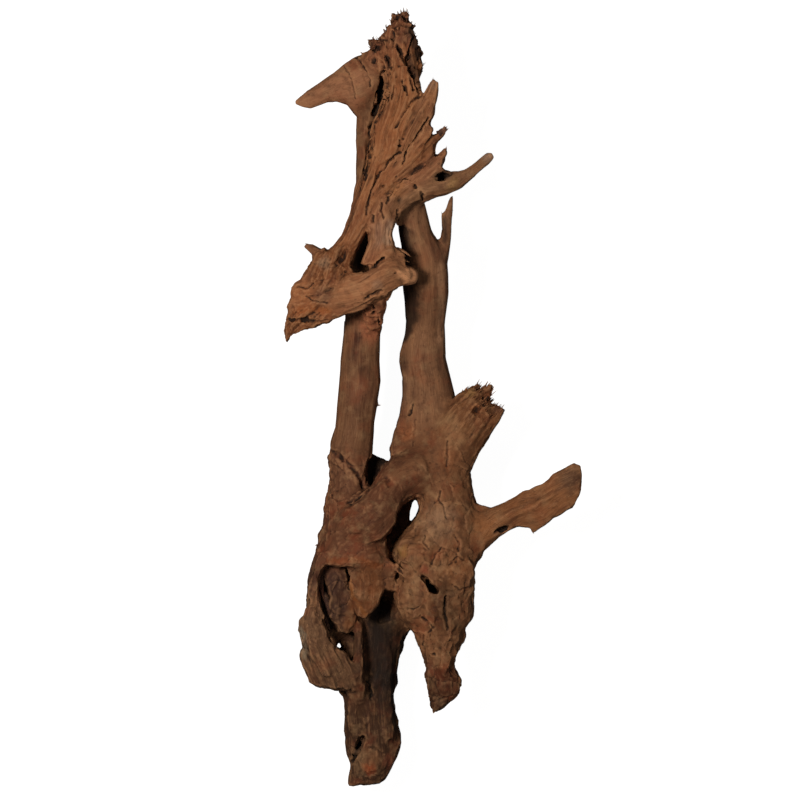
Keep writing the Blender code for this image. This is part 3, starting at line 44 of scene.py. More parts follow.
# Each growth line: its character, its colour, the limb's rough radius, and its path as (x, y, z). All lengths
# are in millimetres, from the middle of the wood as seen from above. The colour is the brown seen there, and
# the hidden hollow_back and lower_stem are given darker browns as painted shade.
GROWTH_LINES = {
    "left_trunk": ("trunk", "#6d4b33", 27, [
        (-84, 482, 166), (-85, 440, 164), (-85, 400, 160), (-86, 360, 157), (-90, 300, 154), (-96, 255, 152),
        (-100, 190, 150), (-102, 124, 148), (-103, 88, 146), (-105, 55, 144), (-106, 20, 142),
        (-110, -10, 140), (-113, -42, 137), (-118, -70, 132), (-120, -98, 127), (-121, -128, 122)]),
    "base_left": ("knotty", "#63402c", 42, [
        (-120, -112, 122), (-122, -140, 124), (-122, -165, 130), (-120, -190, 134), (-116, -215, 136),
        (-116, -240, 134)]),
    "cavity_wall": ("rough", "#422b1f", 20, [
        (-158, -222, 138), (-169, -252, 138), (-172, -280, 138), (-172, -300, 138), (-174, -326, 136)]),
    "ear": ("streaked", "#5f4430", 24, [
        (-172, -294, 164), (-174, -308, 164), (-175, -321, 162), (-172, -340, 158), (-163, -358, 150),
        (-157, -372, 146), (-149, -390, 140), (-143, -403, 134), (-139, -416, 126)]),
    # Painted shade: the next two limbs lie back in shadow, and their browns are darker for it.
    "hollow_back": ("stem", "#3b2517", 34, [
        (-92, -95, 92), (-70, -140, 86), (-74, -180, 84), (-92, -214, 88), (-100, -250, 88), (-100, -282, 84),
        (-98, -310, 80), (-92, -332, 80)]),
    "lower_stem": ("stem", "#3a2516", 34, [
        (-80, -322, 80), (-81, -350, 80), (-83, -372, 80), (-85, -396, 80), (-90, -414, 82), (-94, -430, 82),
        (-91, -446, 82), (-90, -470, 80), (-88, -490, 78), (-87, -520, 74), (-92, -546, 70),
        (-95, -558, 69)]),
    "front_strip": ("stem", "#4a2f1f", 18, [
        (-106, -322, 112), (-106, -345, 118), (-107, -370, 122), (-108, -396, 122), (-110, -418, 112),
        (-106, -440, 100)]),
    "tongue": ("stem", "#673e22", 18, [
        (-97, -222, 162), (-96, -249, 164), (-95, -273, 162), (-97, -297, 158), (-98, -310, 154),
        (-98, -320, 151)]),
    "elbow": ("worn", "#5e3a26", 40, [
        (-8, -102, 130), (-36, -110, 137), (-54, -124, 146), (-67, -144, 153), (-78, -161, 156),
        (-92, -174, 156), (-110, -187, 152), (-126, -203, 146), (-140, -226, 140)]),
    "right_trunk": ("trunk", "#7c583e", 29, [
        (-36, 352, 200), (-36, 322, 196), (-35, 294, 190), (-30, 268, 184), (-25, 238, 178), (-15, 208, 170),
        (-11, 165, 153), (-10, 130, 131), (-11, 102, 114), (-13, 80, 108), (-15, 61, 105), (-7, 17, 103),
        (-6, -15, 105), (-4, -47, 108), (-4, -78, 113), (0, -108, 118)]),
    "fork": ("trunk", "#755239", 10, [
        (11, 188, 156), (14, 210, 162), (17, 227, 166), (19, 243, 168), (20, 257, 170), (24, 272, 172),
        (26, 284, 173), (27, 292, 174)]),
    "torn_stub": ("torn", "#6d462a", 30, [
        (13, -84, 116), (34, -57, 121), (52, -32, 124), (64, -17, 126), (72, -7, 127), (84, 6, 128)]),
    "mid_body": ("flaky", "#765034", 50, [
        (6, -100, 116), (15, -125, 120), (21, -150, 124), (21, -170, 127), (14, -194, 130), (5, -216, 133),
        (1, -236, 136), (3, -256, 138), (4, -276, 139), (2, -299, 139), (6, -318, 138), (8, -333, 137)]),
    "right_leg": ("bark", "#54311c", 24, [
        (8, -333, 137), (10, -346, 136), (9, -360, 134), (9, -376, 132), (10, -389, 130), (15, -405, 128),
        (16, -422, 126), (12, -437, 124), (3, -449, 122), (0, -456, 122)]),
    "paddle": ("limb", "#845736", 24, [
        (43, -195, 128), (60, -200, 132), (77, -190, 136), (92, -179, 140), (105, -171, 143),
        (120, -162, 146), (135, -159, 149), (150, -158, 151), (164, -148, 153), (180, -137, 155),
        (194, -129, 157), (206, -124, 158), (212, -119, 159)]),
    "beak": ("beak", "#936649", 24, [
        (-80, 470, 178), (-98, 458, 176), (-113, 450, 174), (-124, 450, 174), (-140, 448, 176),
        (-154, 442, 178), (-169, 434, 181), (-182, 429, 184), (-191, 427, 187), (-199, 424, 188)]),
    "crown": ("spongy", "#7a4b33", 28, [
        (-46, 560, 190), (-47, 540, 192), (-50, 522, 194), (-54, 506, 198), (-56, 494, 202)]),
    "mass_1": ("fibrous", "#885635", 16, [
        (-60, 496, 214), (-58, 476, 218), (-62, 440, 222), (-70, 408, 228), (-79, 378, 230), (-83, 350, 230),
        (-88, 322, 228), (-98, 292, 228), (-108, 262, 226), (-118, 240, 226), (-132, 216, 228),
        (-146, 196, 232)]),
    "mass_2": ("fibrous", "#8e5936", 14, [
        (-46, 496, 214), (-44, 476, 218), (-46, 440, 226), (-54, 406, 234), (-64, 378, 236), (-68, 354, 234),
        (-78, 332, 230), (-90, 306, 228)]),
    "mass_3": ("fibrous", "#8b5734", 13, [
        (-33, 492, 208), (-31, 470, 214), (-30, 442, 224), (-40, 414, 234), (-50, 388, 240), (-54, 364, 238),
        (-60, 346, 232), (-72, 322, 230)]),
    "mass_4": ("fibrous", "#8f6040", 13, [
        (1, 456, 238), (-4, 440, 236), (-10, 428, 232), (-20, 406, 236), (-32, 382, 240), (-43, 358, 238),
        (-52, 338, 234), (-66, 314, 232)]),
    "mass_5": ("fibrous", "#8c5937", 12, [
        (19, 389, 228), (8, 378, 223), (-6, 366, 228), (-18, 354, 234), (-30, 342, 236), (-46, 328, 236),
        (-62, 314, 234), (-78, 294, 232), (-90, 270, 230), (-100, 250, 226)]),
    "mass_6": ("fibrous", "#8e5f42", 14, [
        (18, 358, 222), (8, 346, 220), (-4, 336, 226), (-16, 326, 230), (-32, 312, 232), (-50, 300, 232),
        (-66, 280, 232), (-75, 260, 233), (-76, 240, 236), (-76, 222, 240), (-86, 200, 244)]),
    "horn": ("limb", "#78563c", 17, [
        (86, 350, 299), (70, 336, 276), (55, 326, 256), (40, 316, 238), (20, 308, 223), (0, 303, 221),
        (-20, 298, 224), (-40, 286, 228), (-58, 266, 230)]),
    "fin": ("fin", "#734425", 26, [
        (-138, 192, 232), (-146, 168, 234), (-158, 148, 234), (-174, 130, 232), (-189, 116, 229),
        (-201, 102, 225), (-207, 90, 222), (-210, 80, 220)]),
    "arm": ("arm", "#986847", 24, [
        (-190, 140, 232), (-166, 141, 232), (-141, 148, 236), (-119, 152, 240), (-96, 158, 244),
        (-78, 170, 246), (-63, 178, 243), (-50, 180, 238), (-38, 176, 230), (-20, 174, 215)]),
    "flap": ("rotten", "#9d6143", 19, [(-86, 156, 226), (-86, 134, 208), (-85, 115, 190), (-84, 98, 172)]),
    "nub": ("limb", "#69422d", 9, [(-152, 204, 229), (-164, 210, 229), (-174, 216, 230), (-184, 220, 230)]),
    "root_stub_top": ("limb", "#6a4632", 18, [
        (-48, 316, 148), (-52, 309, 110), (-57, 303, 76), (-59, 300, 40), (-62, 298, 2)]),
    "root_stub_left": ("limb", "#5c3b28", 20, [
        (-104, -262, 96), (-112, -278, 60), (-118, -288, 28), (-120, -291, 2)]),
    "root_stub_right": ("limb", "#5e3d29", 22, [
        (22, -218, 88), (28, -228, 58), (32, -232, 28), (34, -234, 2)]),
}

# How far the drawing's middle lies from the middle of the wood's box
DRAWING_SHIFT = np.array([-1.24, 0.34, 2.0])

# The lines' lengths start a metre apart, so that no two limbs share a stretch of pattern. Two lines rule
# together where their pulls differ by less than this.
LINE_OFFSET = 1000.0
SHARED_PULL = 0.45


def unit(vectors):
    """The vectors at length one."""
    return vectors / np.maximum(np.linalg.norm(vectors, axis=-1, keepdims=True), 1e-9)


def place_on_line(points, path):
    """Places points on a line: the distance off it, the distance along it, and the offsets across it.

    The nearest point of each straight stretch is found by dropping a square, and the nearest stretch wins.
    The two offsets are measured sideways in plan and upwards, both square to the line's own direction there.
    """
    path = np.array(path, dtype=float) + DRAWING_SHIFT
    runs = np.diff(path, axis=0)
    lengths = np.linalg.norm(runs, axis=1)
    before = np.concatenate([[0.0], np.cumsum(lengths)])
    heading = unit(np.vstack([runs[:1], runs[:-1] + runs[1:], runs[-1:]]))
    sideways = unit(np.cross(heading, [0.0, 0.0, 1.0]))
    upwards = np.cross(sideways, heading)
    best = np.full(len(points), np.inf)
    placed = np.zeros((len(points), 3))
    for i in range(len(runs)):
        share = np.clip((points - path[i]) @ runs[i] / lengths[i] ** 2, 0.0, 1.0)[:, None]
        off = points - (path[i] + share * runs[i])
        distance = np.einsum("ij,ij->i", off, off)
        near = distance < best
        best[near] = distance[near]
        share, off = share[near], off[near]
        side = sideways[i] + share * (sideways[i + 1] - sideways[i])
        rise = upwards[i] + share * (upwards[i + 1] - upwards[i])
        placed[near, 0] = before[i] + share[:, 0] * lengths[i]
        placed[near, 1] = np.einsum("ij,ij->i", off, side)
        placed[near, 2] = np.einsum("ij,ij->i", off, rise)
    return np.sqrt(best), placed


def places_on_lines(points):
    """How strongly every growth line pulls each point, and the point's place on it. The pull is the distance
    over the limb's radius, so the line with the lowest one rules."""
    pull = np.empty((len(GROWTH_LINES), len(points)))
    places = np.empty((len(GROWTH_LINES), len(points), 3), dtype=np.float32)
    for i, (_, _, radius, path) in enumerate(GROWTH_LINES.values()):
        distance, places[i] = place_on_line(points, path)
        places[i, :, 0] += LINE_OFFSET * i
        pull[i] = distance / radius
    return pull, places


def grain_of(points):
    """All the pulls, each point's places on the two lines that rule it, and the share of the second line,
    which is one half where both rule equally and falls quickly from there."""
    pull, places = places_on_lines(points)
    order = np.argsort(pull, axis=0)[:2]
    every = np.arange(len(points))
    gap = pull[order[1], every] - pull[order[0], every]
    share = 0.5 * np.clip(1.0 - gap / SHARED_PULL, 0.0, 1.0) ** 2
    return pull, places[order[0], every], places[order[1], every], share


# The fine skin of the driftwood
# The real piece is the root and trunk of a tropical hardwood, worn by water and sand. It grew as one piece,
# so its skin is one closed surface. It starts from the solid's own form, which is rounded and then carved.

# The size of the skin's faces, in metres, before they are thinned
SKIN_VOXEL = 0.0015


def put_in_scene(name, data):
    """A new object in the scene with the given data."""
    piece = bpy.data.objects.new(name, data)
    bpy.context.scene.collection.objects.link(piece)
    return piece


def merged_copy(name, source):
    """A new object with the source's mesh, its loose triangles joined at their corners."""
    mesh = bmesh.new()
    mesh.from_mesh(source.data)
    bmesh.ops.remove_doubles(mesh, verts=mesh.verts, dist=1e-6)
    data = bpy.data.meshes.new(name)
    mesh.to_mesh(data)
    mesh.free()
    return put_in_scene(name, data)


def settle(piece):
    """Applies the piece's modifiers to its mesh."""
    evaluated = piece.evaluated_get(bpy.context.evaluated_depsgraph_get())
    data = bpy.data.meshes.new_from_object(evaluated)
    old = piece.data
    piece.modifiers.clear()
    piece.data = data
    bpy.data.meshes.remove(old)


def rows_of(parts, field, width, kind=np.float32):
    """The values of a field of the mesh's points, edges or corners, one row for each."""
    flat = np.empty(len(parts) * width, dtype=kind)
    parts.foreach_get(field, flat)
    return flat.reshape(-1, width)


def points_of(piece):
    """The mesh's points in millimetres."""
    return rows_of(piece.data.vertices, "co", 3).astype(float) * 1000.0


def normals_of(piece):
    """The outward direction at each point."""
    return rows_of(piece.data.vertices, "normal", 3).astype(float)


def put_points(piece, points):
    """Puts the mesh's points, given in millimetres, in new places."""
    piece.data.vertices.foreach_set("co", (points / 1000.0).astype(np.float32).ravel())
    piece.data.update()


def edge_ends(piece):
    """The two point numbers of every edge."""
    return rows_of(piece.data.edges, "vertices", 2, np.int32).T


def corner_points_of(piece):
    """The point number of every face's every corner."""
    return rows_of(piece.data.loops, "vertex_index", 1, np.int32).ravel()


def neighbour_mean(values, ends):
    """For each point, the mean of its neighbours' values along the edges."""
    first, second = ends
    count = np.bincount(first, minlength=len(values)) + np.bincount(second, minlength=len(values))
    columns = values.reshape(len(values), -1)
    total = np.stack([np.bincount(first, column[second], len(values))
                      + np.bincount(second, column[first], len(values)) for column in columns.T], axis=1)
    return (total / np.maximum(count, 1)[:, None]).reshape(values.shape)


def smoothed(points, ends, steps, step_in, step_out):
    """Smooths points: each step in towards the neighbours' mean is followed by a step out, which keeps the
    size where it is barely the longer of the two."""
    for _ in range(steps):
        points = points + step_in * (neighbour_mean(points, ends) - points)
        points = points - step_out * (neighbour_mean(points, ends) - points)
    return points


wood = merged_copy("driftwood_wood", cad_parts["driftwood"])
skin = wood.modifiers.new("fine skin", "REMESH")
skin.mode = "VOXEL"
skin.voxel_size = SKIN_VOXEL
settle(wood)
ends = edge_ends(wood)
skin_points = points_of(wood)
line_pull, grain_1, grain_2, grain_share = grain_of(skin_points)


# The character of the wood in each limb
# The twisted top has split into fibres, the crown and the torn end have rotted to a sponge, the lower body
# still carries flaking bark, and the trunks, the beak and the horn are worn almost smooth.

# For each character: how much its facets are rounded, how far its ropes are levelled, how deep in millimetres
# its swells, its fibres, its ledges, its splits, its bark plates and its rot pits are, and how streaked it is
CHARACTERS = {
    "trunk": (1.0, 0.4, 1.2, 0.25, 0.0, 0.2, 0.0, 0.0, 0.45),
    "limb": (0.9, 0.3, 0.9, 0.5, 0.3, 0.5, 0.0, 0.0, 0.55),
    "beak": (1.0, 0.3, 0.6, 0.2, 0.0, 0.2, 0.0, 0.0, 0.35),
    "fin": (0.8, 0.4, 2.4, 1.7, 1.9, 1.4, 0.6, 0.7, 0.55),
    "arm": (0.9, 0.5, 1.5, 0.9, 0.8, 0.6, 0.0, 0.1, 0.50),
    "fibrous": (0.9, 0.8, 0.9, 0.7, 1.5, 1.8, 0.0, 0.0, 0.80),
    "spongy": (0.7, 0.8, 1.4, 1.5, 1.5, 1.8, 0.0, 0.2, 0.60),
    "rotten": (0.6, 0.3, 1.6, 0.9, 0.6, 0.6, 0.0, 0.6, 0.45),
    "torn": (0.6, 0.4, 0.9, 0.9, 0.9, 1.0, 0.0, 0.4, 0.55),
    "worn": (0.9, 1.0, 1.9, 0.3, 0.0, 0.0, 0.4, 0.0, 0.25),
    "rough": (0.7, 0.3, 2.0, 0.5, 0.2, 0.2, 0.6, 0.6, 0.20),
    "knotty": (0.8, 0.8, 2.6, 0.7, 0.6, 0.2, 1.2, 0.3, 0.25),
    "flaky": (0.9, 0.6, 1.6, 0.3, 0.0, 0.0, 0.7, 0.1, 0.18),
    "bark": (0.7, 0.4, 1.4, 0.5, 0.3, 0.3, 1.1, 0.2, 0.30),
    "streaked": (0.8, 0.9, 1.6, 1.0, 1.2, 0.6, 0.3, 0.0, 0.50),
    "stem": (0.8, 0.7, 1.4, 0.6, 0.5, 0.4, 0.3, 0.0, 0.35),
}


def lattice_slopes(corners, seed):
    """A repeatable random slope for each whole-number corner: three scrambled numbers from -1 to 1."""
    x, y, z = (corners[:, i].astype(np.uint32) for i in range(3))
    slopes = np.empty((len(corners), 3))
    for i in range(3):
        mixed = x * np.uint32(374761393) + y * np.uint32(668265263) + z * np.uint32(2246822519)
        mixed += np.uint32((seed * 3 + i) * 974634777 % 4294967296)
        mixed = (mixed ^ (mixed >> np.uint32(15))) * np.uint32(2246822519)
        mixed = (mixed ^ (mixed >> np.uint32(13))) * np.uint32(3266489917)
        slopes[:, i] = (mixed ^ (mixed >> np.uint32(16))) / 2147483648.0 - 1.0
    return slopes


def noise(places, seed):
    """Smooth noise, about -1 to 1: a random slope at each corner of a unit lattice, blended across the cell
    by a curve that is flat at both ends."""
    cell = np.floor(places).astype(np.int64)
    inside = places - cell
    blend = inside ** 3 * (inside * (inside * 6.0 - 15.0) + 10.0)
    total = np.zeros(len(places))
    for corner in np.ndindex(2, 2, 2):
        slope = lattice_slopes(cell + corner, seed)
        weight = np.prod(np.where(corner, blend, 1.0 - blend), axis=1)
        total += weight * np.einsum("ij,ij->i", slope, inside - corner)
    return total * 1.4


def layered(places, seed, layers):
    """Noise with finer and weaker layers on it, each twice as fine and half as strong as the last."""
    return sum(noise(places * 2.0 ** i, seed + i) / 2.0 ** i for i in range(layers))


def on_grain(pattern, length, width):
    """A pattern stretched along the grain, worked out on both growth lines and blended by their share."""
    stretch = np.array([length, width, width])
    first = pattern(grain_1 / stretch)
    blended = grain_share > 0.002
    second = pattern(grain_2[blended] / stretch)
    first[blended] += grain_share[blended] * (second - first[blended])
    return first


def plates(places, seed):
    """Cracked bark: one random point in each cell of a unit lattice. Gives how much nearer the nearest is
    than the next, which is nought on the cracks between plates, and a random height for each plate."""
    cell = np.floor(places).astype(np.int64)
    nearest = np.full(len(places), 9.0)
    second = np.full(len(places), 9.0)
    height = np.zeros(len(places))
    for corner in np.ndindex(3, 3, 3):
        there = cell + corner - 1
        slope = lattice_slopes(there, seed)
        distance = np.linalg.norm(places - (there + 0.5 + 0.42 * slope), axis=1)
        height = np.where(distance < nearest, slope[:, 0], height)
        second = np.minimum(second, np.maximum(nearest, distance))
        nearest = np.minimum(nearest, distance)
    return second - nearest, height


def smooth_step(value, low, high):
    """Nought below low, one above high, and a smooth curve between."""
    share = np.clip((value - low) / (high - low), 0.0, 1.0)
    return share * share * (3.0 - 2.0 * share)


# How quickly one limb's character gives way to the next one's, and how often the facets are smoothed
CHARACTER_FALL = 6.0
ROUNDING_STEPS = 24
ROUND_IN, ROUND_OUT = 0.55, 0.58

table = np.array([CHARACTERS[kind] for kind, _, _, _ in GROWTH_LINES.values()])
closeness = np.exp(-CHARACTER_FALL * (line_pull - line_pull.min(axis=0)))
closeness /= closeness.sum(axis=0)
(rounding, levelling, swell_depth, fibre_depth, ledge_depth, split_depth, bark_depth, pit_depth,
 streakiness) = (closeness.T @ table).T
rounding = rounding[:, None]
skin_points = smoothed(skin_points, ends, ROUNDING_STEPS, ROUND_IN * rounding, ROUND_OUT * rounding)
put_points(wood, skin_points)

# The grid on which the front's ropes are spread out: its cells in millimetres, how often they are evened,
# how far below its cell's top a point still counts as front, and the step that is too steep to even out
LEVEL_CELL = 2.0
LEVEL_STEPS = 50
FRONT_DEPTH = 5.0
LEVEL_EDGE = 6.0


def level_change(points, facing):
    """How far each point of the front rises when the ropes of the front are spread out, in millimetres.

    The front's heights are laid on a square grid. Then every cell moves a little towards its four neighbours,
    again and again, less where the step between them is steep, so that the limbs' own edges stay.
    """
    low = points[:, :2].min(axis=0) - 3.0 * LEVEL_CELL
    cells = np.ceil((points[:, :2].max(axis=0) - low) / LEVEL_CELL).astype(int) + 4
    at = ((points[:, :2] - low) / LEVEL_CELL).astype(int)
    number = at[:, 0] * cells[1] + at[:, 1]
    top = np.full(cells.prod(), -1e3)
    front = facing > 0.1
    np.maximum.at(top, number[front], points[front, 2])
    front &= points[:, 2] > top[number] - FRONT_DEPTH
    count = np.bincount(number[front], minlength=len(top))
    height = np.bincount(number[front], points[front, 2], len(top)) / np.maximum(count, 1)
    filled = (count > 0).reshape(cells)
    height = height.reshape(cells)
    level = height.copy()
    for _ in range(LEVEL_STEPS):
        change = np.zeros_like(level)
        for axis in (0, 1):
            step = np.diff(level, axis=axis)
            both = (np.take(filled, range(1, cells[axis]), axis)
                    & np.take(filled, range(cells[axis] - 1), axis))
            flow = np.where(both, 0.2 * step * np.exp(-(step / LEVEL_EDGE) ** 2), 0.0)
            if axis == 0:
                change[:-1] += flow
                change[1:] -= flow
            else:
                change[:, :-1] += flow
                change[:, 1:] -= flow
        level += change
    rise = np.where(filled, level - height, 0.0)
    for _ in range(2):
        rise[1:-1, 1:-1] = (rise[1:-1, 1:-1] * 4.0 + rise[:-2, 1:-1] + rise[2:, 1:-1] + rise[1:-1, :-2]
                            + rise[1:-1, 2:]) / 8.0
    share = (points[:, :2] - low) / LEVEL_CELL - 0.5
    corner = np.floor(share).astype(int)
    share -= corner
    change = np.zeros(len(points))
    for i in (0, 1):
        for j in (0, 1):
            weight = (share[:, 0] if i else 1.0 - share[:, 0]) * (share[:, 1] if j else 1.0 - share[:, 1])
            change += weight * rise[corner[:, 0] + i, corner[:, 1] + j]
    return change * front * smooth_step(facing, 0.1, 0.5)


skin_points[:, 2] += levelling * level_change(skin_points, normals_of(wood)[:, 2])
skin_points = smoothed(skin_points, ends, 6, ROUND_IN * rounding, ROUND_OUT * rounding)

# Places where age has worn the seam between two limbs away: the middle as (x, y, z) and the radius, how many
# times the skin is smoothed there, and how long the step back out is
WORN_SEAMS = {
    "joint of the elbow and the body": (-10, -100, 156, 38, 200, 0.606),
    "end of the ledge": (-76, -230, 170, 22, 60, 0.0),
    "ridges of the ear": (-158, -378, 166, 36, 200, 0.606),
    "end of the arm": (-30, 176, 234, 20, 120, 0.58),
    "middle of the crown": (-52, 524, 206, 24, 160, 0.606),
    "tall root stub": (-57, 301, 56, 50, 120, 0.606),
}


WEAR_IN = 0.6


def worn_away(points, middle, radius, steps, step_out):
    """Smooths the skin within a ball, less towards its rim. A step in and a barely longer step out take away
    whatever is narrower than about 35 mm. With no step out, a blunt end sinks into its surroundings."""
    distance = np.linalg.norm(points - np.array(middle) - DRAWING_SHIFT, axis=1)
    near = np.flatnonzero(distance < radius)
    local = np.full(len(points), -1)
    local[near] = np.arange(len(near))
    both = (local[ends[0]] >= 0) & (local[ends[1]] >= 0)
    share = 1.0 - smooth_step(distance[near], 0.55 * radius, 0.95 * radius)[:, None]
    points = points.copy()
    points[near] = smoothed(points[near], local[ends[:, both]], steps, WEAR_IN * share, step_out * share)
    return points


for x, y, z, radius, steps, step_out in WORN_SEAMS.values():
    skin_points = worn_away(skin_points, (x, y, z), radius, steps, step_out)
put_points(wood, skin_points)


def stepped(value):
    """A slope broken in ledges: each whole number is a flat tread, with a short steep rise to the next."""
    tread = np.floor(value)
    return tread + smooth_step(value - tread, 0.62, 1.0)


# Each pattern's length along the grain and width across it are in millimetres. Each limb has its own depths.
swells = on_grain(lambda at: layered(at, 5, 2), 60.0, 26.0)
fibres = on_grain(lambda at: layered(at, 11, 3), 90.0, 6.5)
fine_fibres = on_grain(lambda at: layered(at, 23, 2), 45.0, 2.6)
ledges = on_grain(lambda at: stepped(2.6 * layered(at, 31, 2)) / 2.6, 120.0, 13.0)
splits = on_grain(lambda at: np.abs(layered(at, 37, 1)), 150.0, 12.0)
where_split = on_grain(lambda at: layered(at, 41, 1), 80.0, 22.0)
broad_ledges = on_grain(lambda at: stepped(2.2 * layered(at, 35, 2)) / 2.2, 210.0, 30.0)
relief = swell_depth * swells + fibre_depth * (0.8 * fibres + 0.6 * fine_fibres)
relief += ledge_depth * (1.6 * ledges + 2.4 * broad_ledges)
relief -= split_depth * smooth_step(where_split, 0.15, 0.4) * (1.0 - smooth_step(splits, 0.01, 0.09))

# Bark cracks into plates about 24 mm wide, and rot leaves pits about 7 mm wide. Bending the places that they
# are read at by up to 9 mm makes both uneven.
bent = skin_points + 9.0 * np.stack([noise(skin_points / 26.0, seed) for seed in (51, 52, 53)], axis=1)
bark_at = bark_depth > 0.15
crack, lift = np.ones(len(skin_points)), np.zeros(len(skin_points))
crack[bark_at], lift[bark_at] = plates(bent[bark_at] / 24.0, 61)
crumple = layered(skin_points / 11.0, 71, 3)
relief += bark_depth * (0.9 * lift + 0.8 * crumple - (1.0 - smooth_step(crack, 0.0, 0.07)))

pit_at = pit_depth > 0.1
sponge = np.zeros(len(skin_points))
sponge[pit_at] = 0.5 - smooth_step(plates(bent[pit_at] / 7.0, 81)[0], 0.0, 0.75)
relief -= pit_depth * (sponge + 0.4 * layered(skin_points / 6.0, 91, 2) * pit_at)
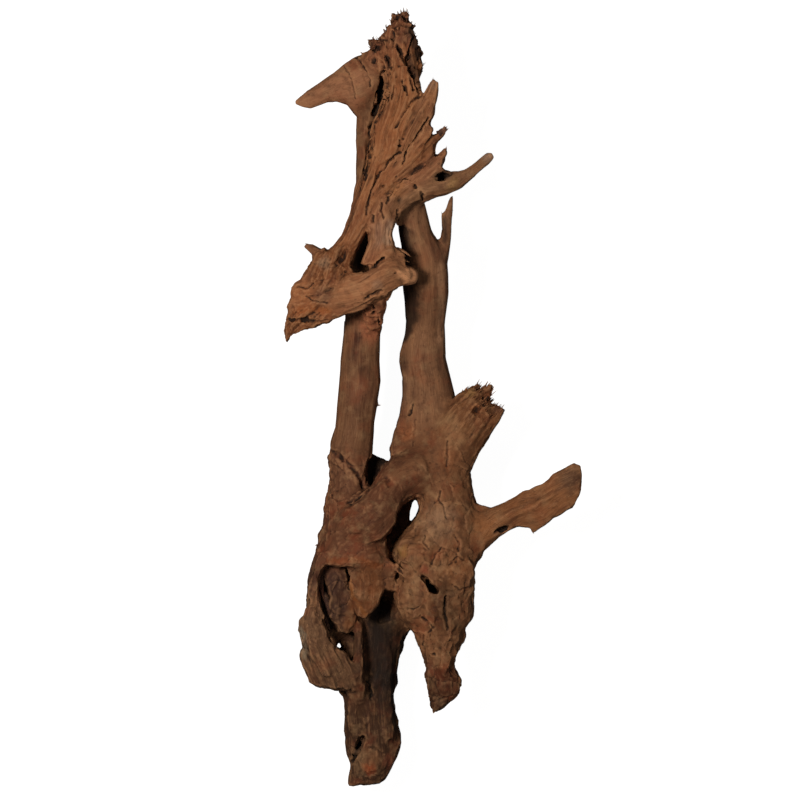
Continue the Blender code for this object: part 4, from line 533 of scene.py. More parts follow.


# The cracks and pits on the front
# Drying has split the wood along its grain, and rot and insects have left pits. The largest of them are put
# in one by one.

# Each mark: how deep it is, the lowest height that it reaches, and its path as (x, y, half width). One point
# alone is a pit, and a mark with a negative depth stands out.
MARKS = {
    "crack round the beak": (1.6, 150, [
        (-128, 477, 1.0), (-119, 461, 1.1), (-114, 444, 1.1), (-112, 430, 1.0)]),
    "shred line behind the beak": (3.0, 150, [
        (-111, 491, 2.2), (-105, 480, 2.0), (-98, 469, 1.8), (-92, 456, 1.8), (-90, 449, 1.5)]),
    "second shred line": (2.0, 150, [(-106, 486, 1.4), (-101, 476, 1.4), (-95, 466, 1.4)]),
    "crevice by the left trunk": (9.0, 150, [
        (-78, 486, 1.6), (-72, 470, 3.0), (-72, 456, 2.6), (-76, 438, 4.4), (-81, 420, 3.6), (-87, 402, 2.6),
        (-91, 388, 1.8)]),
    "seam down the left trunk": (3.0, 150, [
        (-91, 388, 2.2), (-91, 368, 1.8), (-95, 343, 1.8), (-99, 314, 1.5)]),
    "gash under the crown": (5.0, 160, [(-52, 507, 2.0), (-47, 498, 3.0), (-38, 480, 2.0)]),
    "slot by the highest prong": (9.0, 160, [
        (-36, 490, 3.5), (-31, 474, 4.2), (-22, 452, 3.4), (-16, 438, 2.4)]),
    "left slit": (3.5, 190, [(-66, 446, 1.6), (-65, 428, 1.4)]),
    "second slit": (3.5, 190, [(-56, 448, 1.6), (-58, 430, 1.5)]),
    "third slit": (4.0, 190, [(-45, 456, 1.6), (-40, 446, 1.8), (-37, 436, 1.5)]),
    "fourth slit": (4.0, 190, [(-33, 460, 1.6), (-28, 442, 1.6)]),
    "fifth slit": (3.5, 190, [(-26, 451, 1.4), (-21, 438, 1.4)]),
    "long upper crease": (4.5, 190, [(-18, 436, 2.2), (-30, 424, 2.0), (-44, 406, 1.8), (-54, 388, 1.4)]),
    "long middle crease": (5.0, 190, [(-6, 402, 1.6), (-21, 375, 1.9), (-36, 354, 1.9), (-44, 336, 1.4)]),
    "long lower crease": (4.0, 190, [
        (-48, 352, 1.2), (-56, 346, 1.4), (-68, 334, 1.4), (-79, 320, 1.4), (-88, 298, 1.6), (-95, 276, 1.5),
        (-97, 262, 1.2)]),
    "worm pit 1": (3.2, 190, [(-48, 369, 1.5)]),
    "worm pit 2": (3.2, 190, [(-49, 361, 1.4)]),
    "worm pit 3": (3.0, 190, [(-43, 371, 1.2)]),
    "worm pit 4": (4.5, 190, [(-71, 304, 2.4)]),
    "worm pit 5": (4.0, 190, [(-53, 318, 1.6)]),
    "worm pit 6": (4.5, 190, [(-26, 303, 2.0)]),
    "crack by the horn's root": (4.0, 190, [(-19, 296, 1.6), (-15, 290, 1.8), (-15, 284, 1.4)]),
    "neck slit 1": (4.0, 190, [(-73, 281, 1.5), (-74, 268, 2.0), (-71, 258, 1.6)]),
    "neck slit 2": (4.0, 190, [(-50, 270, 2.0), (-51, 256, 1.6)]),
    "neck slit 3": (4.0, 190, [(-61, 292, 1.6), (-66, 280, 1.8)]),
    "slit on the strut": (3.0, 190, [(-86, 262, 1.8), (-88, 252, 1.6)]),
    "split at the fin's tip": (2.6, 190, [
        (-211, 113, 1.1), (-193, 112, 1.2), (-168, 109, 1.3), (-150, 113, 1.0)]),
    "second split of the fin": (2.4, 190, [(-182, 146, 1.0), (-168, 138, 1.3), (-152, 137, 1.0)]),
    "third split of the fin": (2.4, 190, [(-196, 160, 1.0), (-182, 158, 1.2), (-172, 164, 1.0)]),
    "pit on the fin": (2.5, 190, [(-160, 168, 2.6)]),
    "groove along the arm": (4.5, 190, [
        (-112, 183, 1.4), (-93, 184, 1.4), (-84, 190, 1.6), (-78, 196, 1.4), (-71, 202, 1.2)]),
    "eye of the horn": (5.0, 190, [(6, 316, 3.4), (14, 319, 4.6), (20, 321, 3.6), (28, 324, 1.8)]),
    "pit on the arm": (2.5, 220, [(-53, 179, 1.6)]),
    "arm's rot hole 1": (4.5, 180, [(-72, 153, 1.6), (-79, 151, 2.4), (-88, 148, 1.6)]),
    "arm's rot hole 2": (4.5, 180, [(-91, 146, 1.6), (-97, 142, 2.2)]),
    "flap pit 1": (5.0, 150, [(-85, 121, 2.6)]),
    "flap pit 2": (5.0, 150, [(-78, 113, 2.4), (-75, 105, 1.8)]),
    "flap pit 3": (4.0, 150, [(-90, 132, 2.2), (-84, 127, 1.4)]),
    "seam at the left trunk's foot": (3.0, 90, [
        (-151, -74, 2.0), (-138, -80, 3.0), (-126, -90, 2.4), (-116, -100, 3.0), (-104, -115, 2.4),
        (-100, -128, 2.0)]),
    "collar below the seam": (-2.2, 90, [
        (-149, -85, 4.0), (-133, -94, 4.5), (-120, -108, 4.5), (-110, -122, 4.0)]),
    "crease between the base and the elbow": (3.5, 90, [
        (-94, -130, 2.4), (-104, -141, 2.0), (-119, -153, 1.4)]),
    "hole beside the web": (3.6, 90, [(-29, -8, 1.1), (-31, -16, 1.9), (-34, -24, 1.2)]),
    "faint seam on the body": (1.2, 110, [(-26, -31, 1.4), (-28, -50, 1.4), (-29, -68, 1.3)]),
    "crack below the stub": (1.8, 110, [(20, -62, 1.2), (21, -80, 1.4), (19, -97, 1.4)]),
    "dent on the elbow": (3.4, 120, [(-67, -115, 4.0), (-62, -123, 4.5)]),
    "crack in the body 1": (2.0, 110, [(10, -134, 1.4), (7, -146, 1.3), (14, -155, 1.3), (19, -172, 1.6)]),
    "crack in the body 2": (2.0, 110, [(12, -214, 1.2), (2, -226, 1.4), (-4, -241, 1.4)]),
    "crack in the body 3": (1.8, 110, [(-36, -303, 1.4), (-28, -304, 1.4), (-21, -300, 1.2)]),
    "crack in the body 4": (2.2, 110, [(-19, -312, 1.3), (-8, -322, 1.4), (1, -330, 1.4), (-6, -336, 1.2)]),
    "crack in the body 5": (2.0, 100, [(-14, -341, 1.6), (-15, -356, 1.4)]),
    "slit in the body": (6.0, 100, [(19, -284, 1.6), (16, -307, 2.2), (20, -332, 1.4)]),
    "hanging flake by the hole": (3.0, 100, [(-46, -236, 1.4), (-50, -246, 1.6), (-44, -252, 1.2)]),
    "flake edge 1": (1.8, 100, [(24, -238, 1.2), (34, -228, 1.2), (44, -232, 1.1)]),
    "flake edge 2": (1.8, 100, [(28, -268, 1.1), (40, -276, 1.3), (50, -272, 1.1)]),
    "flake edge 3": (1.8, 100, [(-12, -196, 1.1), (-14, -208, 1.2), (-6, -216, 1.1)]),
    "flake edge 4": (1.8, 100, [(30, -196, 1.2), (38, -208, 1.3), (36, -220, 1.1)]),
    "pit in the leg": (3.6, 100, [(1, -368, 2.6)]),
    "pit low in the leg": (1.6, 100, [(9, -434, 1.4), (14, -432, 1.2)]),
    "crease above the foot": (1.6, 70, [(-94, -408, 1.2), (-89, -420, 1.3), (-89, -434, 1.1)]),
    "hollow behind the foot's break": (8.0, 30, [
        (-101, -489, 2.6), (-106, -500, 4.0), (-112, -513, 3.0), (-117, -524, 1.6)]),
    "dark hollow by the paddle": (4.5, 90, [(90, -192, 2.0), (98, -189, 3.0), (108, -186, 2.2)]),
}


# The lowest that the skin reaches, a hair above the floor
WORN_END = 0.2


def off_path(points, path):
    """How far each point lies off a path of (x, y, half width), seen from above, over the half width at the
    nearest place on it: nought on the path and one at its edge."""
    path = np.array(path, dtype=float)
    path[:, :2] += DRAWING_SHIFT[:2]
    if len(path) == 1:
        return np.linalg.norm(points[:, :2] - path[0, :2], axis=1) / path[0, 2]
    off = np.full(len(points), np.inf)
    for start, end in zip(path[:-1], path[1:]):
        run = end[:2] - start[:2]
        along = np.clip((points[:, :2] - start[:2]) @ run / (run @ run), 0.0, 1.0)
        distance = np.linalg.norm(points[:, :2] - start[:2] - along[:, None] * run, axis=1)
        off = np.minimum(off, distance / (start[2] + along * (end[2] - start[2])))
    return off


# The marks' edges wander by up to 1.8 mm, and by 0.7 mm more in finer turns.
facing = normals_of(wood)[:, 2]
wander = np.zeros((len(skin_points), 2))
for size, strength, seeds in ((7.0, 1.8, (101, 102)), (3.2, 0.7, (103, 104))):
    wander += strength * np.stack([noise(skin_points / size, seed) for seed in seeds], axis=1)
wandered = skin_points.copy()
wandered[:, :2] += wander
for depth, lowest, path in MARKS.values():
    reach = np.array(path)
    low, high = reach[:, :2].min(axis=0) - 10.0, reach[:, :2].max(axis=0) + 10.0
    near = np.all((wandered[:, :2] > low) & (wandered[:, :2] < high), axis=1)
    near &= (facing > 0.05) & (skin_points[:, 2] > lowest)
    relief[near] -= depth * (1.0 - smooth_step(off_path(wandered[near], path), 0.4, 1.6))

# The end of the arm is rubbed smooth, and so are the stubs' flat ends. Nothing reaches down into the floor.
ARM_END = np.array([-30.0, 176.0, 232.0])
from_arm_end = np.linalg.norm(skin_points - ARM_END - DRAWING_SHIFT, axis=1)
relief *= 0.2 + 0.8 * smooth_step(from_arm_end, 12.0, 22.0)
relief *= smooth_step(skin_points[:, 2], 1.0, 9.0)
carved = skin_points + normals_of(wood) * relief[:, None]
carved[:, 2] = np.maximum(carved[:, 2], WORN_END)
put_points(wood, carved)


# How fine the skin is kept
# The fibres and cracks need small faces and the worn trunks do not, so the skin is thinned by its own form.
# Where a point lies below its surroundings, in a crack or between strands, it is later darkened as dirt with
# painted shade. How far below it lies is noted first.

# The triangles that are kept, and how many steps of the skin's mesh a narrow and a wide hollow reach
WOOD_TRIANGLES = 192000
NARROW_STEPS, WIDE_STEPS = 4, 30


def hollowness(piece, ends, steps):
    """How far each point lies below the mean of its surroundings, in millimetres."""
    points = points_of(piece)
    mean = points
    for _ in range(steps):
        mean = neighbour_mean(mean, ends)
    return np.einsum("ij,ij->i", mean - points, normals_of(piece))


narrow_hollow = hollowness(wood, ends, NARROW_STEPS)
wide_hollow = hollowness(wood, ends, WIDE_STEPS)
fine_points = points_of(wood)
lookup = kdtree.KDTree(len(fine_points))
for number, point in enumerate(fine_points):
    lookup.insert(point, number)
lookup.balance()

thin = wood.modifiers.new("thinned", "DECIMATE")
thin.use_collapse_triangulate = True
thin.ratio = WOOD_TRIANGLES / (2.0 * len(wood.data.polygons))
settle(wood)
wood.data.shade_smooth()
kept_points = points_of(wood)
kept_points[:, 2] = np.maximum(kept_points[:, 2], WORN_END)
put_points(wood, kept_points)
nearest_fine = np.array([lookup.find(point)[1] for point in kept_points])


# The colour of the wood
# Each limb has aged to its own brown. Rot has stained it red or orange in places, light has bleached the most
# worn ones, and lichen has left grey-green films on the outer edges. Some of the stains and dark places below
# are painted light and shade.

# Each stain: its colour, how strong it is, and its path as (x, y, half width). It lies on all that faces up
# under its path. A few are painted light and shade: a painted highlight on the end of the arm and on the
# right trunk's right side, and painted shade on the lower stem, the leg's end, low on the body, the hollow by
# the paddle and the right trunk's edge by the gap. The painted light on the end of the arm ends at a height
# above the trunk behind it.
STAINS = {
    "dark knot on the left trunk": ("#4a2419", 0.7, [(-112, 88, 7), (-108, 78, 9), (-112, 66, 6)]),
    "dark streak on the left trunk": ("#55301f", 0.55, [(-104, 48, 7), (-98, 36, 9), (-100, 24, 6)]),
    "dull red on the left trunk": ("#6b3a2c", 0.35, [(-106, 10, 22)]),
    "ochre on the horn": ("#8f7040", 0.5, [(30, 306, 11)]),
    "lichen on the fin": ("#93806a", 0.45, [(-156, 194, 11)]),
    "dark rot on the fin": ("#5e4034", 0.5, [(-158, 148, 15)]),
    "orange edge of the fin": ("#93552d", 0.45, [(-192, 150, 20)]),
    "bare tip of the highest prong": ("#75625a", 0.6, [(0, 449, 9)]),
    "dark tip of the middle prong": ("#4c393a", 0.7, [(17, 389, 8)]),
    "dark tip of the lowest prong": ("#5a4238", 0.5, [(17, 359, 7)]),
    "grey tip of the horn": ("#8a7b70", 0.5, [(80, 347, 12)]),
    "black knob by the crown": ("#2c1f1b", 0.85, [(-92, 512, 8)]),
    "orange rot below the crown": ("#8c5030", 0.5, [(-36, 476, 13)]),
    "dark rot of the crown": ("#4c2f24", 0.45, [(-34, 520, 14)]),
    "orange hollow in the stub": ("#8c4a22", 0.6, [(62, -16, 9)]),
    "second hollow in the stub": ("#7d4224", 0.5, [(79, 1, 10)]),
    "dark knob of the stub": ("#4e2a20", 0.7, [(98, -15, 10)]),
    "ochre on the stub": ("#8f7444", 0.4, [(52, 8, 9)]),
    "orange on the body's left": ("#8f522f", 0.5, [(-38, -48, 15)]),
    "orange on the body's right": ("#86502f", 0.45, [(20, -88, 20)]),
    "pale flakes on the body": ("#96795f", 0.5, [(8, -178, 30)]),
    "yellow bark by the hole": ("#9c7a40", 0.5, [(-44, -220, 10)]),
    "orange bark on the right": ("#85512c", 0.45, [(36, -246, 22)]),
    "red thread by the hole": ("#80301f", 0.5, [(-12, -246, 8)]),
    "red ledge": ("#70402a", 0.5, [(-112, -222, 24)]),
    "orange tongue": ("#7f4d2c", 0.4, [(-98, -270, 20)]),
    "lichen high on the ear": ("#8f8775", 0.65, [(-192, -333, 5), (-189, -345, 8)]),
    "lichen low on the ear": ("#8a816e", 0.6, [(-187, -356, 8), (-185, -372, 5)]),
    "body's brown at the elbow's root": ("#7a5439", 0.85, [(-8, -96, 22), (-40, -106, 14), (-58, -112, 8)]),
    "dark red knob of the ear": ("#4a2a1c", 0.7, [(-174, -400, 8), (-168, -410, 7)]),
    "pale ridge of the ear": ("#7c5f44", 0.28, [(-165, -385, 18)]),
    "orange break of the foot": ("#a84a20", 0.8, [(-91, -534, 9)]),
    "red heel": ("#7a3c2c", 0.4, [(-62, -524, 13)]),
    # Painted shade: the lower stem lies back, in the shadow of the limbs on its left.
    "painted shade on the lower stem": ("#36200f", 0.6, [(-96, -468, 34)]),
    "red edge of the leg": ("#5c2b20", 0.45, [(-9, -388, 13)]),
    "red wood under the fork": ("#643828", 0.5, [(10, 212, 18)]),
    "bleached right trunk": ("#7a5840", 0.3, [(-4, 58, 24)]),
    "bleached arm": ("#a88a72", 0.4, [(-80, 163, 9)]),
    # Painted highlight: the end of the arm is given a near-white colour, brighter than the light it gets.
    "painted light on the end of the arm": ("#f6b584", 0.95, [(-46, 180, 9), (-30, 174, 15)]),
    "pale wood of the neck": ("#a9846a", 0.75, [(-68, 236, 22)]),
    # Painted shade in the carved hollow by the paddle.
    "dark hollow by the paddle": ("#4c281c", 0.7, [(92, -192, 4), (104, -188, 6), (110, -190, 4)]),
    "red seam at the trunk's foot": ("#4c2418", 0.6, [
        (-148, -78, 4), (-130, -88, 5), (-112, -106, 5), (-102, -122, 4)]),
    # Painted shade: these four darken the right trunk's left edge by the gap, where the left trunk's shadow
    # falls.
    "painted shade by the gap 1": ("#38251a", 0.5, [(-41, 46, 8)]),
    "painted shade by the gap 2": ("#38251a", 0.5, [(-41, 22, 8)]),
    "painted shade by the gap 3": ("#38251a", 0.5, [(-43, -2, 8)]),
    "painted shade by the gap 4": ("#38251a", 0.5, [(-47, -24, 8)]),
    "purple-brown rot in the cavity": ("#3a2520", 0.75, [(-143, -268, 24)]),
    "purple-brown edge by the cavity": ("#45291f", 0.6, [(-174, -254, 9), (-172, -278, 8)]),
    "golden edge of the tongue": ("#9a5f2c", 0.5, [
        (-119, -262, 3), (-116, -285, 3), (-104, -302, 3), (-95, -314, 3)]),
    "purple-brown rot below it": ("#3a2520", 0.7, [(-138, -306, 20)]),
    "shade low on the body": ("#44260c", 0.6, [(14, -268, 14), (10, -296, 20), (18, -326, 16)]),
    # Painted shade: the leg's end is darker towards the bottom, where less light reaches.
    "painted shade at the leg's end": ("#3e220f", 0.85, [(16, -400, 16), (12, -430, 20)]),
    "pale break of the foot": ("#7c5437", 0.5, [(-88, -520, 17)]),
    "tan low on the mass": ("#a26e42", 0.45, [(-54, 302, 18)]),
    "tan left of the mass": ("#9c6c44", 0.4, [(-84, 346, 16)]),
    "orange paddle root": ("#8a5830", 0.4, [(70, -182, 16)]),
    "grey end of the paddle": ("#493527", 0.75, [(198, -116, 24)]),
    "dark streak on the paddle": ("#4a2c1a", 0.45, [(96, -168, 3), (130, -154, 4), (168, -136, 3)]),
    "red-brown strut": ("#673c26", 0.65, [(-112, 268, 12), (-124, 244, 12)]),
    # Painted light: brightens the right trunk's right side, which faces away from the key light.
    "painted light on the right trunk's right side": ("#ab8160", 0.85, [(11, 190, 5), (13, 130, 6), (10, 80, 6)]),
    "pale top of the body": ("#96724f", 0.6, [(22, -34, 16), (34, -60, 14)]),
    "orange edge of the ledge": ("#84461f", 0.5, [(-150, -234, 5), (-110, -232, 6), (-76, -240, 6)]),
    "orange streak of the fin": ("#9a5526", 0.5, [(-196, 124, 8), (-176, 128, 8), (-150, 124, 6)]),
    "grey film on the neck": ("#94826f", 0.45, [(-62, 250, 8), (-66, 226, 8)]),
}

# The painted light on the end of the arm stops above this height, so that the trunk behind it is not
# brightened.
PAINTED_LIGHT_ABOVE = {"painted light on the end of the arm": 205}

# Places made dark, almost black: how strong it is, and its path. Most are painted shade in slots, gaps and
# hollows, on shaded sides and towards the bottom, and the right trunk's side carries a painted cast shadow.
# The knot, the line below it and the rot in the cavity are the wood's own dark stains, and the crown's tip
# and the front strip are just made a little darker. Some of the painted shade lies only below a height, so
# that the limb above it is not darkened.
DARK_STAINS_AND_PAINTED_SHADE = {
    "painted shade in the slot": (0.9, [(-106, 196, 10), (-100, 210, 11), (-94, 232, 7)]),
    "painted shade at the gap's foot": (0.95, [(-74, -88, 9), (-86, -100, 11), (-93, -126, 6)]),
    # Painted shadow: this and the next cast the shadow of the neck, the arm and the flap onto the right
    # trunk's left side.
    "painted shadow on the upper right trunk": (0.92, [(-40, 268, 10), (-43, 240, 13), (-43, 215, 13), (-40, 192, 13)]),
    "painted shadow on the right trunk": (0.93, [
        (-37, 165, 16), (-34, 140, 18), (-34, 118, 15), (-37, 98, 10), (-41, 84, 5)]),
    # Painted shade along the right trunk's left edge by the gap.
    "painted shade on the right trunk's edge": (0.4, [(-44, 60, 5), (-42, 20, 5), (-50, -25, 6), (-60, -60, 5)]),
    "painted shade on the eye's rim": (0.8, [(7, 317, 7), (16, 320, 9), (26, 323, 4)]),
    "painted shade behind the foot": (0.85, [(-101, -489, 4), (-107, -503, 6), (-116, -524, 3)]),
    "painted shade on the crown's right side": (0.88, [(-30, 530, 6), (-24, 512, 10), (-21, 492, 10)]),
    # Painted shade in the gash under the crown.
    "gash under the crown": (0.8, [(-34, 486, 5), (-28, 466, 6), (-19, 446, 4)]),
    "painted shade right of the strip": (0.9, [(-74, -316, 20), (-74, -350, 26), (-72, -396, 23)]),
    # Painted shade on the lower stem, which lies back in shadow.
    "lower stem": (0.68, [(-70, -410, 22), (-66, -445, 16)]),
    "painted shade on the lower stem's edge": (0.6, [(-54, -400, 7), (-54, -450, 6), (-50, -490, 5)]),
    "painted shade below the tongue": (0.7, [(-72, -300, 16), (-88, -318, 12)]),
    "front strip": (0.32, [(-106, -340, 8), (-108, -400, 8)]),
    # Painted shade low on the body.
    "low on the body": (0.42, [(12, -280, 16), (14, -318, 18)]),
    "rot in the cavity": (0.25, [(-146, -262, 18), (-140, -300, 20)]),
    # Painted shade at the leg's end, darker towards the bottom.
    "end of the leg": (0.38, [(16, -404, 16), (10, -436, 16)]),
    "crown's tip": (0.3, [(-44, 552, 8)]),
    "painted shade at the paddle's root": (0.6, [(66, -236, 6), (80, -218, 6), (96, -200, 5)]),
    "knot on the left trunk": (0.45, [(-108, 92, 4), (-109, 82, 6), (-114, 70, 4)]),
    "line below the knot": (0.32, [(-124, 54, 2), (-106, 46, 3), (-92, 38, 4)]),
    "painted shade on the fork spike's left side": (0.75, [(15, 262, 3), (17, 245, 4), (17, 228, 4)]),
    # Painted shade on the leg's shaded left edge.
    "edge of the leg": (0.35, [(-14, -372, 6), (-8, -410, 6), (-3, -446, 5)]),
}
# The painted shade and shadow that lie under a limb stop below these heights, so that the limb above is not
# darkened.
PAINTED_SHADE_BELOW = {
    "painted shade in the slot": 226, "painted shade at the gap's foot": 130, "painted shadow on the upper right trunk": 206,
    "painted shadow on the right trunk": 200, "painted shade on the right trunk's edge": 200, "painted shade below the tongue": 130,
}


def paint(code):
    """A colour from its sRGB hex code, as linear red, green, blue and full cover."""
    values = [int(code[i:i + 2], 16) / 255.0 for i in (1, 3, 5)]
    return [v / 12.92 if v <= 0.04045 else ((v + 0.055) / 1.055) ** 2.4 for v in values] + [1.0]


def add_attribute(piece, name, kind, domain, values):
    """Writes values on the mesh as a named attribute."""
    attribute = piece.data.attributes.new(name, kind, domain)
    field = {"FLOAT": "value", "FLOAT_VECTOR": "vector", "FLOAT_COLOR": "color"}[kind]
    attribute.data.foreach_set(field, np.ascontiguousarray(values, dtype=np.float32).ravel())


kept_facing = normals_of(wood)[:, 2]
ragged = 1.0 + 0.45 * layered(kept_points / 9.0, 111, 3)


def covered(path, edge):
    """How well a path covers each kept point: fully within a third of its half width, and not past the edge,
    which is given in half widths and made ragged."""
    return 1.0 - smooth_step(off_path(kept_points, path) * ragged, 0.35, edge)


line_colours = np.array([paint(code) for _, code, _, _ in GROWTH_LINES.values()])
tint = closeness.T[nearest_fine] @ line_colours
for name, (code, strength, path) in STAINS.items():
    share = strength * covered(path, 1.25) * smooth_step(kept_facing, -0.3, 0.2)
    share *= kept_points[:, 2] > PAINTED_LIGHT_ABOVE.get(name, 0)
    tint += share[:, None] * (np.array(paint(code)) - tint)
add_attribute(wood, "tint", "FLOAT_COLOR", "POINT", tint)

# Dirt and painted shade darken the narrow cracks, painted shade darkens the wide hollows, and the dark stains
# and painted shade of the listed places come on top.
dirt_and_shade = (smooth_step(narrow_hollow, 0.18, 1.0) * 0.75 + smooth_step(wide_hollow, 0.8, 4.0) * 0.7)[nearest_fine]
for name, (strength, path) in DARK_STAINS_AND_PAINTED_SHADE.items():
    share = strength * covered(path, 1.35) * smooth_step(kept_facing, -0.6, 0.0)
    share *= kept_points[:, 2] < PAINTED_SHADE_BELOW.get(name, np.inf)
    dirt_and_shade = 1.0 - (1.0 - np.clip(dirt_and_shade, 0.0, 1.0)) * (1.0 - share)
wear = smooth_step(-narrow_hollow, 0.10, 0.6)
add_attribute(wood, "streakiness", "FLOAT", "POINT", streakiness[nearest_fine])
add_attribute(wood, "dirt_and_shade", "FLOAT", "POINT", np.clip(dirt_and_shade, 0.0, 1.0))
add_attribute(wood, "wear", "FLOAT", "POINT", wear[nearest_fine])

# The material draws its streaks in the places on the two growth lines that rule each face, so these are kept
# on the face's corners, with the share of the second line.
MIXED_PULL = 0.35
corner_points = corner_points_of(wood)
kept_pull, kept_places = places_on_lines(kept_points)
face_pull = kept_pull[:, corner_points.reshape(-1, 3)].mean(axis=2)
corner_lines = np.repeat(np.argsort(face_pull, axis=0)[:2], 3, axis=1)
for name, line in zip(("grain_a", "grain_b"), corner_lines):
    add_attribute(wood, name, "FLOAT_VECTOR", "CORNER", kept_places[line, corner_points])
gap = kept_pull[corner_lines[1], corner_points] - kept_pull[corner_lines[0], corner_points]
add_attribute(wood, "grain_mix", "FLOAT", "CORNER", np.clip(0.5 - 0.5 * gap / MIXED_PULL, 0.0, 1.0))


# Weathered wood
# Dry unsealed hardwood, worn by water and sand, with no finish on it. It is dull, and its colour runs in fine
# streaks along the grain over broader bands. Dirt and painted shade darken the cracks, hollows and shaded
# places, and wear lightens the ridges.


def node(tree, kind, settings=None, links=None):
    """Adds a node. Settings are its own options and its sockets' values, and links are what feeds its
    sockets. A socket goes by its name, or by its number where several share a name."""
    made = tree.nodes.new(kind)
    for key, value in (settings or {}).items():
        if isinstance(key, int) or key in made.inputs.keys():
            made.inputs[key].default_value = value
        else:
            setattr(made, key, value)
    for key, source in (links or {}).items():
        tree.links.new(made.inputs[key], source)
    return made


def weathered_hardwood():
    """Dull wood: the limbs' tint under layers of streaks along the grain, blotches, wear, and dirt with
    painted shade.
    """
    material = bpy.data.materials.new("weathered hardwood")
    material.use_nodes = True
    tree = material.node_tree
    shader = tree.nodes["Principled BSDF"]
    painted = {}
    for name in ("tint", "streakiness", "dirt_and_shade", "wear", "grain_a", "grain_b", "grain_mix"):
        painted[name] = node(tree, "ShaderNodeAttribute", {"attribute_name": name}).outputs

    def streaks(width, length, detail):
        """Noise drawn out along the grain, its width and length in millimetres. It is read on both growth
        lines and mixed where they meet."""
        sides = []
        for name in ("grain_a", "grain_b"):
            stretch = (1.0 / length, 1.0 / width, 1.0 / width)
            along = node(tree, "ShaderNodeMapping", {"vector_type": "POINT", "Scale": stretch},
                         {"Vector": painted[name]["Vector"]})
            grain = node(tree, "ShaderNodeTexNoise", {"Scale": 1.0, "Detail": detail, "Roughness": 0.6},
                         {"Vector": along.outputs["Vector"]})
            sides.append(grain.outputs["Fac"])
        mixed = node(tree, "ShaderNodeMix", {"data_type": "FLOAT"},
                     {"Factor": painted["grain_mix"]["Fac"], "A": sides[0], "B": sides[1]})
        return mixed.outputs["Result"]

    fine = streaks(1.2, 34.0, 3.0)
    broad = streaks(6.0, 90.0, 3.0)
    bands = streaks(14.0, 60.0, 4.0)
    place = node(tree, "ShaderNodeTexCoord").outputs["Object"]
    blotches = {}
    for size, detail in ((34.0, 4.0), (21.0, 4.0), (12.0, 5.0), (4.0, 3.0), (3.0, 3.0)):
        settings = {"Scale": 1000.0 / size, "Detail": detail, "Roughness": 0.6}
        blotches[size] = node(tree, "ShaderNodeTexNoise", settings, {"Vector": place}).outputs["Fac"]
    streaked = painted["streakiness"]["Fac"]
    settings = {"From Min": 0.2, "From Max": 0.7, "To Min": 1.0, "To Max": 0.35}
    plain = node(tree, "ShaderNodeMapRange", settings, {"Value": streaked}).outputs["Result"]

    # Each layer, from the lowest up: its colour, its pattern, the pattern's values where it begins and where
    # it is full, how strong it is there, and what weakens it
    layers = [
        ("#41251a", broad, 0.50, 0.72, 0.75, streaked),
        ("#b4835a", broad, 0.46, 0.28, 0.50, streaked),
        ("#3f2317", bands, 0.50, 0.72, 0.55, None),
        ("#7c3a20", blotches[34.0], 0.50, 0.72, 0.60, plain),
        ("#9a7a58", blotches[21.0], 0.52, 0.74, 0.60, plain),
        ("#3a2216", blotches[12.0], 0.52, 0.72, 0.60, plain),
        ("#2c1910", fine, 0.54, 0.74, 0.80, streaked),
        ("#c4946a", fine, 0.44, 0.26, 0.45, streaked),
        ("#341e13", blotches[4.0], 0.58, 0.74, 0.50, None),
        ("#bf9068", painted["wear"]["Fac"], 0.0, 1.0, 0.28, None),
        # The darkest layer is dirt with painted shade, from the cracks, the hollows and the shaded places.
        ("#0f0805", painted["dirt_and_shade"]["Fac"], 0.0, 1.0, 0.92, None),
    ]
    colour = painted["tint"]["Color"]
    for code, pattern, begins, full, strength, weakener in layers:
        settings = {"From Min": begins, "From Max": full, "To Min": 0.0, "To Max": strength}
        share = node(tree, "ShaderNodeMapRange", settings, {"Value": pattern}).outputs["Result"]
        if weakener is not None:
            share = node(tree, "ShaderNodeMath", {"operation": "MULTIPLY"},
                         {0: share, 1: weakener}).outputs["Value"]
        laid = node(tree, "ShaderNodeMix", {"data_type": "RGBA", 7: paint(code)}, {0: share, 6: colour})
        colour = laid.outputs[2]
    tree.links.new(shader.inputs["Base Color"], colour)

    settings = {"From Min": 0.3, "From Max": 0.7, "To Min": 0.72, "To Max": 0.92}
    roughness = node(tree, "ShaderNodeMapRange", settings, {"Value": fine})
    tree.links.new(shader.inputs["Roughness"], roughness.outputs["Result"])
    shader.inputs["Specular IOR Level"].default_value = 0.25
    fibres = node(tree, "ShaderNodeBump", {"Strength": 0.5, "Distance": 0.0006}, {"Height": fine})
    grit = node(tree, "ShaderNodeBump", {"Strength": 0.35, "Distance": 0.0005},
                {"Height": blotches[3.0], "Normal": fibres.outputs["Normal"]})
    tree.links.new(shader.inputs["Normal"], grit.outputs["Normal"])
    return material


wood.data.materials.clear()
wood.data.materials.append(weathered_hardwood())
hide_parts("driftwood")
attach(wood, "root")


# The splinters
# The crown and the torn end have rotted to stiff fibres, and the prongs, the fork and the fin end in points
# too fine for the skin. Each is a flat, bent sliver that tapers from its root in the wood to its tip.

SPLINTER_RINGS = 7
SPLINTER_SIDES = 7


